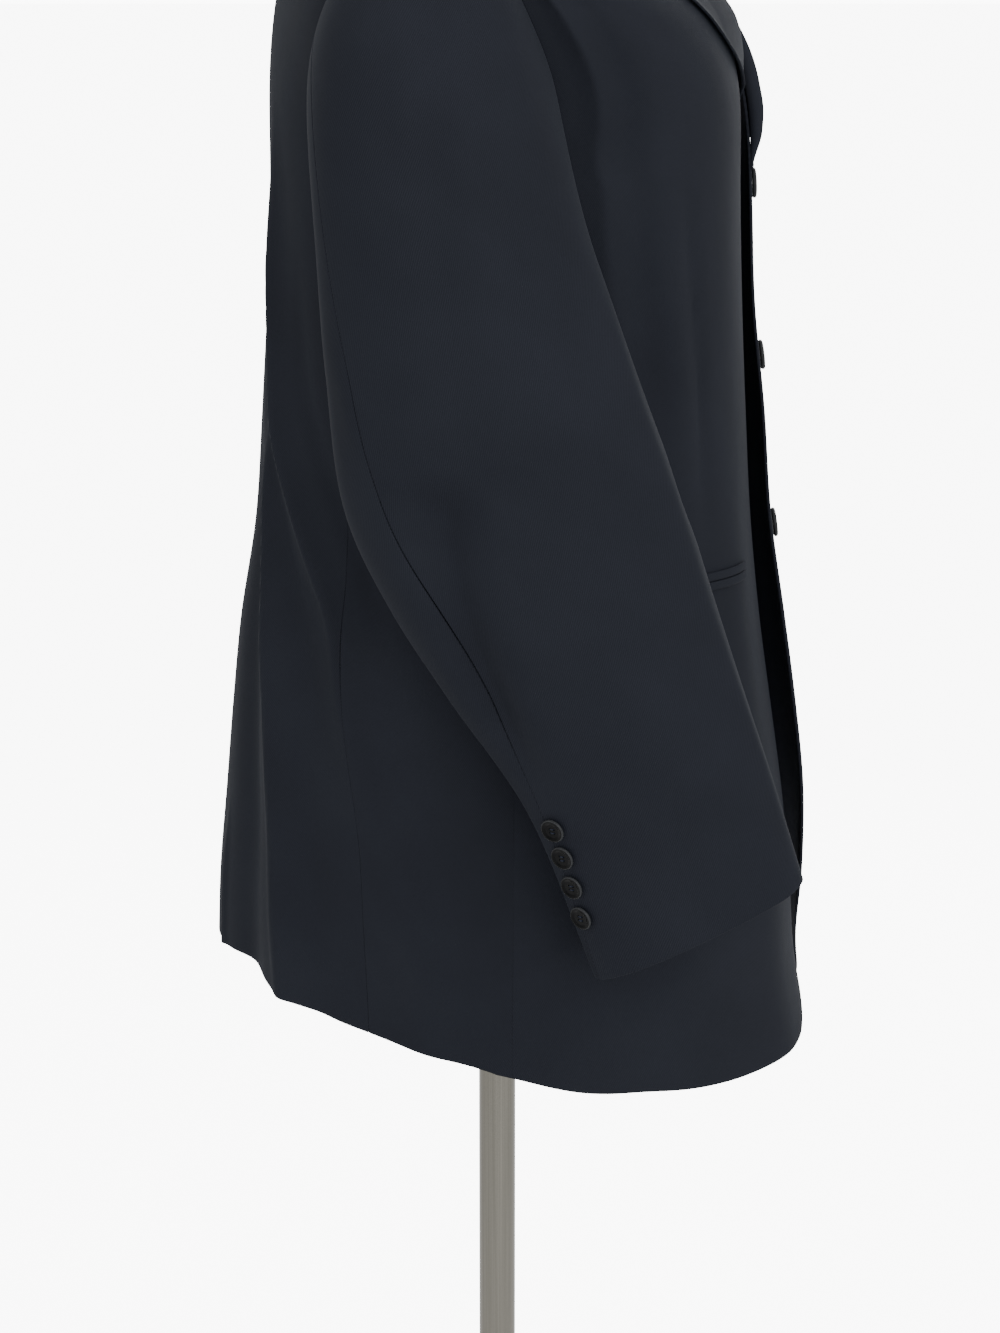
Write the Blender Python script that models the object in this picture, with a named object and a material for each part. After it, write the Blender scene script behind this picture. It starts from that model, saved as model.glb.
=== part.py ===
"""A three-button suit jacket worn by a limbless dress form on a pole stand.

Metres, +Z up. The stand's axis is the Z axis and its base rests on z = 0. The jacket's front
faces -Y, so the wearer's right side is towards -X. Each piece of cloth is a closed wall: a
grid of points on its outer face, and the same grid moved in by the cloth's thickness.
"Own" x is measured from the centre line towards the side that a piece belongs to.
"""
import bpy
import bmesh
import math
import numpy as np
from mathutils import Vector

# ---- driving sizes (metres, degrees) ----
CLOTH = 0.0020              # wall of worsted cloth with its canvas or turned-in edge
SEAM_GAP = 0.0003           # clearance kept where two pieces are sewn together
OVERLAP = 0.018             # each front runs this far past the centre line
CHEST_POWER = 2.5           # superellipse power of the body's level sections at the chest

# Level sections of the body, which grow rounder towards the hem. The powers are those of
# the superellipse in front and behind, and flare is how far the left front stands off the
# right one.
BODY_COLUMNS = ("z", "half_width", "front", "back", "front_power", "back_power", "flare")
BODY_SECTIONS = (
    (0.73, 0.193, 0.220, 0.199, 2.10, 1.75, 0.000),
    (0.79, 0.191, 0.208, 0.196, 2.10, 1.78, 0.001),
    (0.85, 0.188, 0.203, 0.193, 2.15, 1.85, 0.007),
    (0.91, 0.184, 0.196, 0.187, 2.20, 1.92, 0.013),
    (0.97, 0.181, 0.187, 0.181, 2.25, 2.05, 0.015),
    (1.03, 0.178, 0.178, 0.174, 2.30, 2.20, 0.015),
    (1.10, 0.176, 0.170, 0.162, 2.40, 2.35, 0.012),
    (1.17, 0.178, 0.165, 0.156, 2.50, 2.50, 0.008),
    (1.24, 0.184, 0.161, 0.151, 2.50, 2.50, 0.003),
    (1.32, 0.188, 0.158, 0.147, 2.50, 2.50, 0.002),
    (1.38, 0.190, 0.157, 0.147, 2.50, 2.50, 0.002),
)

# Height of the hem round the body, by angle: 0 at the centre front and 180 at the back.
HEM_COLUMNS = ("t", "z")
HEM_HEIGHTS = ((0, 0.745), (20, 0.744), (40, 0.744), (60, 0.749), (75, 0.756), (90, 0.771),
               (105, 0.780), (122, 0.788), (138, 0.799), (152, 0.807), (166, 0.806), (180, 0.804))
HEM_FRONT = 0.745
CUTAWAY = 0.045             # how far the front edges swing apart at the hem
CUTAWAY_TOP = 0.93          # height where they start to
CORNER = 0.028              # radius of the fronts' lower corners

NECK_X, NECK_Z = 0.075, 1.535       # where the shoulder seam meets the collar
NAPE_RISE = 0.028                   # the neck's crown above NECK_Z on the centre line
TIP_X, TIP_Z = 0.218, 1.480         # where the shoulder seam meets the sleeve
RIDGE_Y = 0.034                     # the shoulder seam lies in this plane
FRONT_ROUND, BACK_ROUND = 1.8, 2.4  # powers of the upright sections over chest and back
CHEST_FULLNESS = 0.009              # how far the canvas holds the upper chest forward of them

ARMHOLE_Z, ARMHOLE_RY, ARMHOLE_RZ = 1.392, 0.072, 0.088
ARMHOLE_LEAN = 0.24         # how much its upper front draws back towards the shoulder seam
PSI_FRONT, PSI_BACK = 230.0, 330.0  # armhole angles where the side panel's seams end

BUTTON_Z = (1.318, 1.203, 1.088)    # the three front buttons
FRONT_BUTTON_R, CUFF_BUTTON_R = 0.010, 0.0077

FORM_BOTTOM = 0.850
POLE_R = 0.013
BASE_R, BASE_H = 0.180, 0.012

# Folds in the body: a ridge (height > 0) or trough that runs from angle low_t at the hem
# to high_t at the yoke, between two heights where it fades. The angle is 0 at the centre
# front and 180 at the centre back.
# Columns: side, low_t, high_t, fade_low, fade_high, height, width.
FOLDS = (
    (-1, 134, 163, 0.60, 1.24, 0.0084, 6.0),    # sharp ridge down the right back
    (-1, 149, 168, 0.60, 1.18, -0.0060, 6.0),   # hollow behind it
    (-1, 91, 162, 0.91, 1.38, 0.0078, 5.0),     # slanting fold from the back of the armhole
    (-1, 104, 170, 0.97, 1.31, -0.0040, 4.5),   # hollow behind it
    (-1, 118, 120, 0.60, 0.98, -0.0050, 10.0),  # hollow by the side seam at the hem
    (-1, 80, 84, 0.60, 0.92, 0.0046, 11.0),     # side of the skirt swings out
    (-1, 45, 73, 1.14, 1.52, 0.0040, 4.5),      # ridge beside the armhole, on the chest
    (-1, 36, 63, 1.10, 1.46, -0.0026, 4.5),     # hollow in front of it
    (-1, 24, 30, 0.60, 1.20, 0.0030, 9.0),      # soft swing of the front skirt
    (1, 136, 162, 0.60, 1.22, 0.0076, 6.5),
    (1, 152, 170, 0.60, 1.15, -0.0055, 6.5),
    (1, 96, 156, 0.94, 1.36, 0.0060, 5.0),
    (1, 120, 119, 0.60, 0.94, -0.0045, 10.0),
    (1, 83, 86, 0.60, 0.90, 0.0046, 12.0),
    (1, 48, 71, 1.16, 1.50, 0.0038, 5.0),
    (1, 38, 62, 1.12, 1.44, -0.0025, 5.0),
    (1, 28, 26, 0.60, 1.16, 0.0030, 9.0),
)

# The sleeve seen from the side: its rear and front edges, with the middle and half
# thickness across it. y is towards the back.
SLEEVE_COLUMNS = ("down", "rear_y", "rear_z", "front_y", "front_z", "middle_x", "half_x")
SLEEVE_SECTIONS = (
    (0.00, 0.104, 1.305, -0.058, 1.290, 0.243, 0.047),
    (0.20, 0.099, 1.225, -0.084, 1.218, 0.242, 0.048),
    (0.40, 0.088, 1.140, -0.111, 1.146, 0.240, 0.046),
    (0.55, 0.063, 1.085, -0.130, 1.088, 0.239, 0.044),
    (0.70, 0.029, 1.030, -0.148, 1.034, 0.237, 0.040),
    (0.85, -0.020, 0.955, -0.167, 0.978, 0.234, 0.035),
    (1.00, -0.060, 0.852, -0.187, 0.915, 0.231, 0.031),
)
SLEEVE_CAP = 0.30           # share of the sleeve's rows that makes its head
FORE_SEAM = 205.0           # angle of the inner seam, from the sleeve's rear edge
HIND_COLUMNS = ("row", "angle")         # angle of the outer seam, which wanders over the elbow
HIND_SEAM = ((0.0, 20.0), (0.30, 25.0), (0.45, 37.0), (0.60, 46.0), (0.77, 46.0), (0.87, 34.0),
             (1.0, 18.0))

# Collar, by own x, y and z: the fold round the neck, the seam to the neckline and the fall's edge.
COLLAR_U = (0.0, 0.2, 0.4, 0.6, 0.8, 1.0)
COLLAR_FOLD = ((0.0475, -0.118, 1.4835), (0.0580, -0.080, 1.516), (0.0660, -0.032, 1.545),
               (0.0680, 0.020, 1.563), (0.0520, 0.070, 1.571), (0.0, 0.094, 1.573))
COLLAR_SEAM = ((0.0490, -0.106, 1.4825), (0.0610, -0.070, 1.510), (0.0705, -0.026, 1.5315),
               (0.0745, 0.026, 1.5395), (0.0560, 0.080, 1.5400), (0.0, 0.102, 1.5395))
COLLAR_EDGE = ((0.1100, -0.102, 1.484), (0.1190, -0.068, 1.502), (0.1250, -0.026, 1.514),
               (0.1220, 0.036, 1.528), (0.0850, 0.106, 1.522), (0.0, 0.138, 1.515))
NOTCH = (0.088, 1.457)      # own x and z of the notch's inner corner
LAPEL_POINT = (0.113, 1.441)
LAPEL_TOP_Z = 1.4780        # where the gorge seam meets the roll line
LAPEL_BELLY = 0.014         # how far the lapel's outer edge bows


# ---- small tools ----
def smooth_table(table, columns, name, at):
    """One named column of a table, read with a smooth cubic through its rows."""
    rows = np.array(table, dtype=float)
    keys, values = rows[:, 0], rows[:, columns.index(name)]
    slopes = np.gradient(values, keys)
    at = np.clip(np.asarray(at, dtype=float), keys[0], keys[-1])
    k = np.clip(np.searchsorted(keys, at) - 1, 0, len(keys) - 2)
    step = keys[k + 1] - keys[k]
    u = (at - keys[k]) / step
    return ((2 * u**3 - 3 * u**2 + 1) * values[k] + (u**3 - 2 * u**2 + u) * step * slopes[k]
            + (3 * u**2 - 2 * u**3) * values[k + 1] + (u**3 - u**2) * step * slopes[k + 1])


def smooth_step(x):
    x = np.clip(x, 0.0, 1.0)
    return x * x * (3 - 2 * x)


def signed_power(x, p):
    return np.sign(x) * np.abs(x) ** p


def sin_deg(a):
    return np.sin(np.radians(a))


def cos_deg(a):
    return np.cos(np.radians(a))


# ---- the body's outer surface ----
def body(name, z):
    return smooth_table(BODY_SECTIONS, BODY_COLUMNS, name, z)


def fold_offset(t, z, side):
    """How far the folds of one side lift the cloth at angle t and height z."""
    lift = 0.0
    for fold_side, low_t, high_t, fade_low, fade_high, height, width in FOLDS:
        if fold_side != side:
            continue
        centre = low_t + (high_t - low_t) * np.clip((z - HEM_FRONT) / 0.58, 0, 1.3)
        across = np.exp(-((t - centre) / width) ** 2)
        along = smooth_step((z - fade_low) / 0.10) * smooth_step((fade_high - z) / 0.16)
        lift = lift + height * across * along
    return lift


def left_over_right(x, z, side):
    """The left front lies on the right one, so near the centre line it stands proud of it."""
    if side < 0:
        return 0.0 * x
    near = smooth_step(1.15 - np.abs(x) / 0.085)
    proud = CLOTH + 2 * SEAM_GAP + body("flare", z)
    return proud * near * smooth_step((1.475 - z) / 0.11)


def section(name, z, in_front):
    """The depth or the power of a level section, in front or behind."""
    front_name, back_name = ("front", "back") if name == "depth" else ("front_power", "back_power")
    return np.where(in_front, body(front_name, z), body(back_name, z))


def ring(t, z, side):
    """A point of the body below the armholes, at angle t (0 front, 180 back) and height z."""
    in_front = cos_deg(t) > 0
    depth, power = section("depth", z, in_front), 2.0 / section("power", z, in_front)
    x = body("half_width", z) * signed_power(sin_deg(t), power)
    y = -depth * signed_power(cos_deg(t), power)
    out = fold_offset(t, z, side)
    reach = np.hypot(x, y)
    x, y = x * (1 + out / reach), y * (1 + out / reach)
    y = y - left_over_right(x, z, side) * smooth_step(cos_deg(t) * 4)
    return x, y


def angle_of_x(x, z):
    """Angle t on the front half whose ring point has own x."""
    ratio = x / body("half_width", z)
    return np.degrees(np.arcsin(signed_power(ratio, body("front_power", z) / 2)))


def angle_of_y(y, z):
    """Angle t whose ring point has this y."""
    depth, power = section("depth", z, y < 0), section("power", z, y < 0)
    return np.degrees(np.arccos(-signed_power(y / depth, power / 2)))


def shoulder_height(x):
    """Height of the shoulder line, and of the neck's crown inside it, over own x."""
    slope = (NECK_Z - TIP_Z) / (TIP_X - NECK_X)
    crown = NAPE_RISE * (1 - np.clip(np.abs(x) / NECK_X, 0, 1) ** 2)
    return NECK_Z - slope * np.clip(np.abs(x) - NECK_X, 0, None) + crown


def chest(x, z, base_z, front):
    """y of the body above base_z: an upright superellipse that rounds over to the shoulder."""
    power = FRONT_ROUND if front else BACK_ROUND
    width = body("half_width", base_z) + 0.045 * smooth_step((z - base_z) / 0.13)
    depth = body("front" if front else "back", base_z)
    level = depth * (1 - np.clip(np.abs(x) / width, 0, 1) ** CHEST_POWER) ** (1 / CHEST_POWER)
    up = np.clip((z - base_z) / (shoulder_height(x) - base_z), 0, 1)
    reach = (1 - up ** power) ** (1 / power)
    if not front:
        return RIDGE_Y * (1 - reach) + level * reach
    full = CHEST_FULLNESS * smooth_step((z - base_z) / 0.09) * smooth_step((1.468 - z) / 0.045)
    return RIDGE_Y * (1 - reach) - level * reach - full


def armhole(psi):
    """Own x, y and z of the armhole: 0 at its rear, 90 at the shoulder, 270 underneath."""
    draw_back = ARMHOLE_LEAN * smooth_step((sin_deg(psi) + 0.45) / 1.1) * (cos_deg(psi) < 0)
    y = RIDGE_Y + ARMHOLE_RY * cos_deg(psi) * (1 - draw_back)
    z = ARMHOLE_Z + ARMHOLE_RZ * sin_deg(psi)
    depth = section("depth", z, y < 0)
    low = body("half_width", z) * (1 - np.abs(y / depth) ** CHEST_POWER) ** (1 / CHEST_POWER)
    return low + (TIP_X - low) * smooth_step((sin_deg(psi) + 0.5) / 1.5), y, z


YOKE_FRONT = float(armhole(PSI_FRONT)[2])   # height where the front's edge meets the armhole
YOKE_BACK = float(armhole(PSI_BACK)[2])
T_SIDE = float(angle_of_y(armhole(PSI_FRONT)[1], YOKE_FRONT))
T_BACK = float(angle_of_y(armhole(PSI_BACK)[1], YOKE_BACK))
T_BACK_HEM = 118.5          # the seam between side panel and back swings forward to the hem


# ---- turning functions into cloth walls ----
def grid_normals(surface, s, v, limits):
    """Outward unit normals of surface(s, v), by central differences inside the limits."""
    e = 2e-4
    low_s, high_s, low_v, high_v = limits
    along_s = surface(np.minimum(s + e, high_s), v) - surface(np.maximum(s - e, low_s), v)
    along_v = surface(s, np.minimum(v + e, high_v)) - surface(s, np.maximum(v - e, low_v))
    normal = np.cross(along_s, along_v)
    return normal / np.linalg.norm(normal, axis=2, keepdims=True)


def make_object(name, points, faces, material, flat=False):
    mesh = bpy.data.meshes.new(name)
    mesh.from_pydata([tuple(p) for p in points], [], faces)
    work = bmesh.new()
    work.from_mesh(mesh)
    bmesh.ops.recalc_face_normals(work, faces=work.faces)
    work.to_mesh(mesh)
    work.free()
    mesh.materials.append(material)
    if not flat:
        mesh.shade_smooth()
        mesh.set_sharp_from_angle(angle=math.radians(40))
    thing = bpy.data.objects.new(name, mesh)
    bpy.context.collection.objects.link(thing)
    return thing


def wall(name, outer, inner, material):
    """A closed wall between two grids of points, rows by columns."""
    rows, columns = outer.shape[:2]
    points = np.concatenate([outer.reshape(-1, 3), inner.reshape(-1, 3)])
    shift = rows * columns
    index = np.arange(shift).reshape(rows, columns)
    quads = np.stack([index[:-1, :-1], index[:-1, 1:], index[1:, 1:], index[1:, :-1]], -1)
    quads = quads.reshape(-1, 4)
    rim = np.concatenate([index[0, :-1], index[:-1, -1], index[-1, :0:-1], index[:0:-1, 0]])
    edge = np.stack([rim, rim + shift, np.roll(rim, -1) + shift, np.roll(rim, -1)], -1)
    faces = np.concatenate([quads, quads[:, ::-1] + shift, edge])
    return make_object(name, points, faces.tolist(), material)


def cloth(name, surface, s_values, v_values, material, side, limits, turn=1, thickness=CLOTH):
    """A cloth wall on surface(s, v), whose points have own x. side puts it left or right,
    and turn is -1 where s and v run the other way round, seen from outside."""
    v, s = np.meshgrid(v_values, s_values, indexing="ij")
    outer = surface(s, v)
    normal = turn * grid_normals(surface, s, v, limits)
    inner = outer - thickness * normal
    mirror = np.array([side, 1.0, 1.0])
    return wall(name, outer * mirror, inner * mirror, material)


def stack(x, y, z):
    return np.stack(np.broadcast_arrays(x, y, z), axis=-1)


def material(name, colour, roughness, metallic=0.0):
    made = bpy.data.materials.new(name)
    made.use_nodes = True
    shader = made.node_tree.nodes["Principled BSDF"]
    shader.inputs["Base Color"].default_value = (*colour, 1.0)
    shader.inputs["Roughness"].default_value = roughness
    shader.inputs["Metallic"].default_value = metallic
    return made


# ---- jacket panels ----
def hem_height(t):
    return smooth_table(HEM_HEIGHTS, HEM_COLUMNS, "z", np.clip(t, 0, 180))


def back_seam(v):
    """Angle of the seam between side panel and back, from hem (v = 0) to armhole (v = 1)."""
    return T_BACK_HEM + (T_BACK - T_BACK_HEM) * np.clip(v, 0, 1) ** 1.5


def front_edge_x(z):
    """Own x of a front's free edge: past the centre line, then swinging away to the hem."""
    away = np.clip((CUTAWAY_TOP - z) / (CUTAWAY_TOP - HEM_FRONT), 0, 1.2)
    return -OVERLAP + CUTAWAY * away ** 2


def upper_folds(t, z, s, q, side, yoke):
    """The folds carried on above the yoke, level, in the direction that they have there.
    They fade towards the shoulder seam and, a little above the yoke, at the armhole."""
    in_front = cos_deg(t) > 0
    power = 2 / section("power", yoke + 0 * t, in_front)
    x = body("half_width", yoke) * signed_power(sin_deg(t), power)
    y = -section("depth", yoke + 0 * t, in_front) * signed_power(cos_deg(t), power)
    lift = fold_offset(t, z, side) * smooth_step((1 - q) / 0.3)
    lift = lift * (1 - smooth_step(q / 0.12) * smooth_step((s - 0.95) / 0.05)) / np.hypot(x, y)
    return x * lift, y * lift


def front_surface(side):
    width = 0.215               # of a front from its edge to the side seam, roughly

    def lower(s, v):
        near_corner = np.clip(1 - s * width / CORNER, 0, 1)
        corner = CORNER * (1 - np.sqrt(1 - near_corner ** 2))
        hem = hem_height(T_SIDE * s) + corner
        z = hem + (YOKE_FRONT - hem) * v
        start = angle_of_x(front_edge_x(z), z)
        t = start + (T_SIDE - start) * s
        x, y = ring(t, z, side)
        return x, y, z

    def upper(s, q):
        start = angle_of_x(-OVERLAP, YOKE_FRONT)
        t = start + (T_SIDE - start) * s
        x_base = body("half_width", YOKE_FRONT) * signed_power(sin_deg(t), 2 / CHEST_POWER)
        x_end = armhole(PSI_FRONT)[0]
        share = (x_base + OVERLAP) / (x_end + OVERLAP)
        x_arm, y_arm, z_arm = armhole(PSI_FRONT + (90 - PSI_FRONT) * q)
        rise = sin_deg(90 * q) ** (2 / FRONT_ROUND)
        z_roll = YOKE_FRONT + (NECK_Z - YOKE_FRONT) * rise
        x_roll = -OVERLAP + (NECK_X + OVERLAP) * rise
        x = x_roll + (x_arm - x_roll) * share
        z = z_roll + (z_arm - z_roll) * share
        y = chest(x, z, YOKE_FRONT, True)
        y = y + (y_arm - chest(x_arm, z_arm, YOKE_FRONT, True)) * s ** 3
        out_x, out_y = upper_folds(t, z, s, q, side, YOKE_FRONT)
        return x + out_x, y + out_y - left_over_right(x, z, side), z

    def surface(s, v):
        low = stack(*lower(s, np.clip(v, 0, 1)))
        high = stack(*upper(s, np.clip(v - 1, 0, 1)))
        return np.where((v <= 1)[..., None], low, high)
    return surface


def side_surface(side):
    def surface(s, v):
        psi = PSI_FRONT + (PSI_BACK - PSI_FRONT) * s
        _, y_top, z_top = armhole(psi)
        t_low = T_SIDE + (back_seam(v) - T_SIDE) * s
        t_high = T_SIDE + (T_BACK - T_SIDE) * s
        t = t_low + (angle_of_y(y_top, z_top) - t_high) * np.clip(v, 0, 1) ** 3
        hem = hem_height(T_SIDE + (T_BACK_HEM - T_SIDE) * s)
        z = hem + (z_top - hem) * v
        x, y = ring(t, z, side)
        return stack(x, y, z)
    return surface


def back_surface(side):
    def lower(s, v):
        t = 180 + (back_seam(v) - 180) * s
        hem = hem_height(180 + (T_BACK_HEM - 180) * s)
        z = hem + (YOKE_BACK - hem) * v
        x, y = ring(t, z, side)
        return x, y, z

    def upper(s, q):
        t = 180 + (T_BACK - 180) * s
        x_base = body("half_width", YOKE_BACK) * signed_power(sin_deg(t), 2 / CHEST_POWER)
        share = x_base / armhole(PSI_BACK)[0]
        x_arm, y_arm, z_arm = armhole(PSI_BACK + (450 - PSI_BACK) * q)
        x = x_arm * share
        top = np.minimum(shoulder_height(x), NECK_Z)
        rise = sin_deg(90 * q) ** (2 / BACK_ROUND)
        z = YOKE_BACK + (top - YOKE_BACK) * rise
        z_end = YOKE_BACK + (shoulder_height(x_arm) - YOKE_BACK) * rise
        z = z + (z_arm - z_end) * s ** 2
        y = chest(x, z, YOKE_BACK, False)
        y = y + (y_arm - chest(x_arm, z_arm, YOKE_BACK, False)) * s ** 3
        out_x, out_y = upper_folds(t, z, s, q, side, YOKE_BACK)
        return x + out_x, y + out_y, z

    def surface(s, v):
        low = stack(*lower(s, np.clip(v, 0, 1)))
        high = stack(*upper(s, np.clip(v - 1, 0, 1)))
        return np.where((v <= 1)[..., None], low, high)
    return surface


def gap_share(width):
    """The share of a panel's width that half a seam's clearance takes."""
    return 0.5 * SEAM_GAP / width


def body_panels(fabric):
    low_rows = np.linspace(0, 1, 15)
    high_rows = 1 + np.linspace(0, 1, 10)[1:]
    high_rows[-1] -= 0.003
    for word, side in (("right", -1), ("left", 1)):
        gap = gap_share(0.19)
        columns = np.concatenate([[0, 0.05, 0.1, 0.16], np.linspace(0.24, 1, 10)])
        columns[-1] -= gap
        cloth(f"{word}_front", front_surface(side), columns,
              np.concatenate([low_rows, high_rows]), fabric, side, (-1, 2, -1, 2 - 0.001))
        gap = gap_share(0.11)
        cloth(f"{word}_side_panel", side_surface(side), np.linspace(gap, 1 - gap, 7),
              low_rows, fabric, side, (-1, 2, -1, 1))
        gap = gap_share(0.20)
        cloth(f"{word}_back", back_surface(side), np.linspace(gap, 1 - gap, 12),
              np.concatenate([low_rows, high_rows]), fabric, side, (-1, 2, -1, 2 - 0.001), -1)


# ---- sleeves ----
def sleeve(name, down):
    return smooth_table(SLEEVE_SECTIONS, SLEEVE_COLUMNS, name, down)


def sleeve_tube(psi, down):
    """The sleeve below its head: 0 at the rear edge, 90 outside, 180 front, 270 by the body."""
    rear = np.stack([sleeve("rear_y", down), sleeve("rear_z", down)])
    fore = np.stack([sleeve("front_y", down), sleeve("front_z", down)])
    middle, half = (rear + fore) / 2, (rear - fore) / 2
    across = signed_power(cos_deg(psi), 0.88)
    out = signed_power(sin_deg(psi), 0.88)
    # a long hollow behind the elbow, from mid arm to the cuff buttons, and two soft ones above
    hollow = 0.0075 * np.exp(-((np.mod(psi, 360) - 95 + 62 * down) / 14) ** 2)
    hollow = hollow * smooth_step((down - 0.30) / 0.16)
    hollow = hollow * smooth_step((0.95 - down) / 0.22)
    swell = 0.0030 * np.exp(-((psi - 100) / 12) ** 2) * smooth_step((0.55 - down) / 0.4)
    x = sleeve("middle_x", down) + sleeve("half_x", down) * out - hollow - swell
    return stack(x, middle[0] + half[0] * across, middle[1] + half[1] * across)


def hind_seam(v):
    return smooth_table(HIND_SEAM, HIND_COLUMNS, "angle", v)


def sleeve_surface(under):
    """The top sleeve (under = 0) from its front seam round the outside, or the under
    sleeve (under = 1) from the hind seam round by the body. v runs down from the armhole."""
    def surface(s, v):
        hind = hind_seam(v)
        psi = hind + 360 + (FORE_SEAM - hind - 360) * s if under else \
            FORE_SEAM + (hind - FORE_SEAM) * s
        x, y, z = armhole(psi)
        start = stack(x + 5 * SEAM_GAP, y, z)
        end = sleeve_tube(psi, 0 * v)
        below = sleeve_tube(psi, 0 * v + 0.02)
        reach = np.linalg.norm(end - start, axis=-1, keepdims=True)
        arrive = (end - below) / np.linalg.norm(end - below, axis=-1, keepdims=True)
        over = np.clip(sin_deg(psi), 0, 1)      # 1 on top, where the head slopes as the shoulder
        along = cos_deg(psi) * np.where(cos_deg(psi) < 0, 0.06, 0.18)
        leave = stack(0.95 + 0 * x, along, 0.20 * sin_deg(psi) - 0.55 * over)
        u = np.clip(v / SLEEVE_CAP, 0, 1)[..., None]
        a = start + (0.34 - 0.06 * over)[..., None] * reach * leave
        b = end + 0.42 * reach * arrive
        cap = ((1 - u) ** 3 * start + 3 * (1 - u) ** 2 * u * a
               + 3 * (1 - u) * u ** 2 * b + u ** 3 * end)
        down = np.clip((v - SLEEVE_CAP) / (1 - SLEEVE_CAP), 0, 1)
        return np.where((v <= SLEEVE_CAP)[..., None], cap, sleeve_tube(psi, down))
    return surface


def sleeves(fabric):
    rows = np.concatenate([np.linspace(0, SLEEVE_CAP, 7),
                           np.linspace(SLEEVE_CAP, 1, 17)[1:]])
    gap = gap_share(0.08)      # wider than the other seams' gap, as these seams wander
    for word, side in (("right", -1), ("left", 1)):
        cloth(f"{word}_top_sleeve", sleeve_surface(0), np.linspace(gap, 1 - gap, 12),
              rows, fabric, side, (-1, 2, 0, 1), -1)
        cloth(f"{word}_under_sleeve", sleeve_surface(1), np.linspace(gap, 1 - gap, 9),
              rows, fabric, side, (-1, 2, 0, 1), -1)


# ---- collar and lapels ----
def roll_line(z):
    """Own x of the line where a front rolls back to make its lapel."""
    return -OVERLAP + (NECK_X + OVERLAP) * (z - YOKE_FRONT) / (NECK_Z - YOKE_FRONT)


def lapel_surface(side):
    """s curls round the roll line from 0 to 0.3 and then crosses the lapel; v climbs it."""
    break_z = YOKE_FRONT + (0.004 if side > 0 else 0.047)   # the right one starts under the left

    def surface(s, v):
        z_roll = break_z + (LAPEL_TOP_Z - break_z) * v
        x_roll = roll_line(z_roll)
        # outer edge: from the break to the lapel's point, bowed outwards
        x_edge = x_roll + 0.006 + (LAPEL_POINT[0] - roll_line(LAPEL_TOP_Z) - 0.006) * v
        x_edge = x_edge + LAPEL_BELLY * np.sin(np.pi * v)
        z_edge = break_z + 0.002 + (LAPEL_POINT[1] - break_z - 0.002) * v
        low_stack = 0.0022 if side < 0 else 0.0024
        grow = smooth_step((z_roll - (1.380 if side < 0 else 1.322)) / 0.05)
        radius = low_stack + 0.0028 * grow
        turn = np.clip(s / 0.3, 0, 1)
        beta = -75 + 165 * turn
        across = np.clip((s - 0.3) / 0.7, 0, 1)
        curl_x = -radius * cos_deg(beta)
        lift = 2 * SEAM_GAP + radius * (1 + sin_deg(beta))
        flat_lift = CLOTH + 4 * SEAM_GAP
        lift = np.where(s > 0.3, flat_lift + (lift - flat_lift) * (1 - across) ** 1.5, lift)
        x = x_roll + np.where(s > 0.3, (x_edge - x_roll) * across, curl_x)
        z = z_roll + (z_edge - z_roll) * across
        y = chest(x, z, YOKE_FRONT, True) - left_over_right(x, z, side)
        return stack(x, y - lift, z)
    return surface


def collar_curve(points, u):
    """A curve of the collar: x, y and z at share u of the way from the front to the nape."""
    rows = np.column_stack([COLLAR_U, np.array(points)])
    past_nape = (2 - rows[-2, 0], -rows[-2, 1], rows[-2, 2], rows[-2, 3])
    rows = np.vstack([rows, past_nape])
    columns = ("u", "x", "y", "z")
    return [smooth_table(rows, columns, name, u) for name in ("x", "y", "z")]


def lift_off_body(x, y, z, clear):
    """Moves a point straight out of the upper body until it is this far clear of it."""
    front = y < RIDGE_Y
    base = np.where(front, YOKE_FRONT, YOKE_BACK)
    power = np.where(front, FRONT_ROUND, BACK_ROUND)
    width = body("half_width", base) + 0.045
    depth = np.where(front, body("front", base), body("back", base))
    level = depth * (1 - np.clip(np.abs(x) / width, 0, 1) ** CHEST_POWER) ** (1 / CHEST_POWER)
    dy, dz = (y - RIDGE_Y), z - base
    height = shoulder_height(x) - base
    size = ((np.abs(dy) / level) ** power + (np.abs(dz) / height) ** power) ** (1 / power)
    length = np.hypot(dy, dz)
    needed = length / size + clear
    scale = np.maximum(needed / length, 1.0)
    return RIDGE_Y + dy * scale, base + dz * scale


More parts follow.
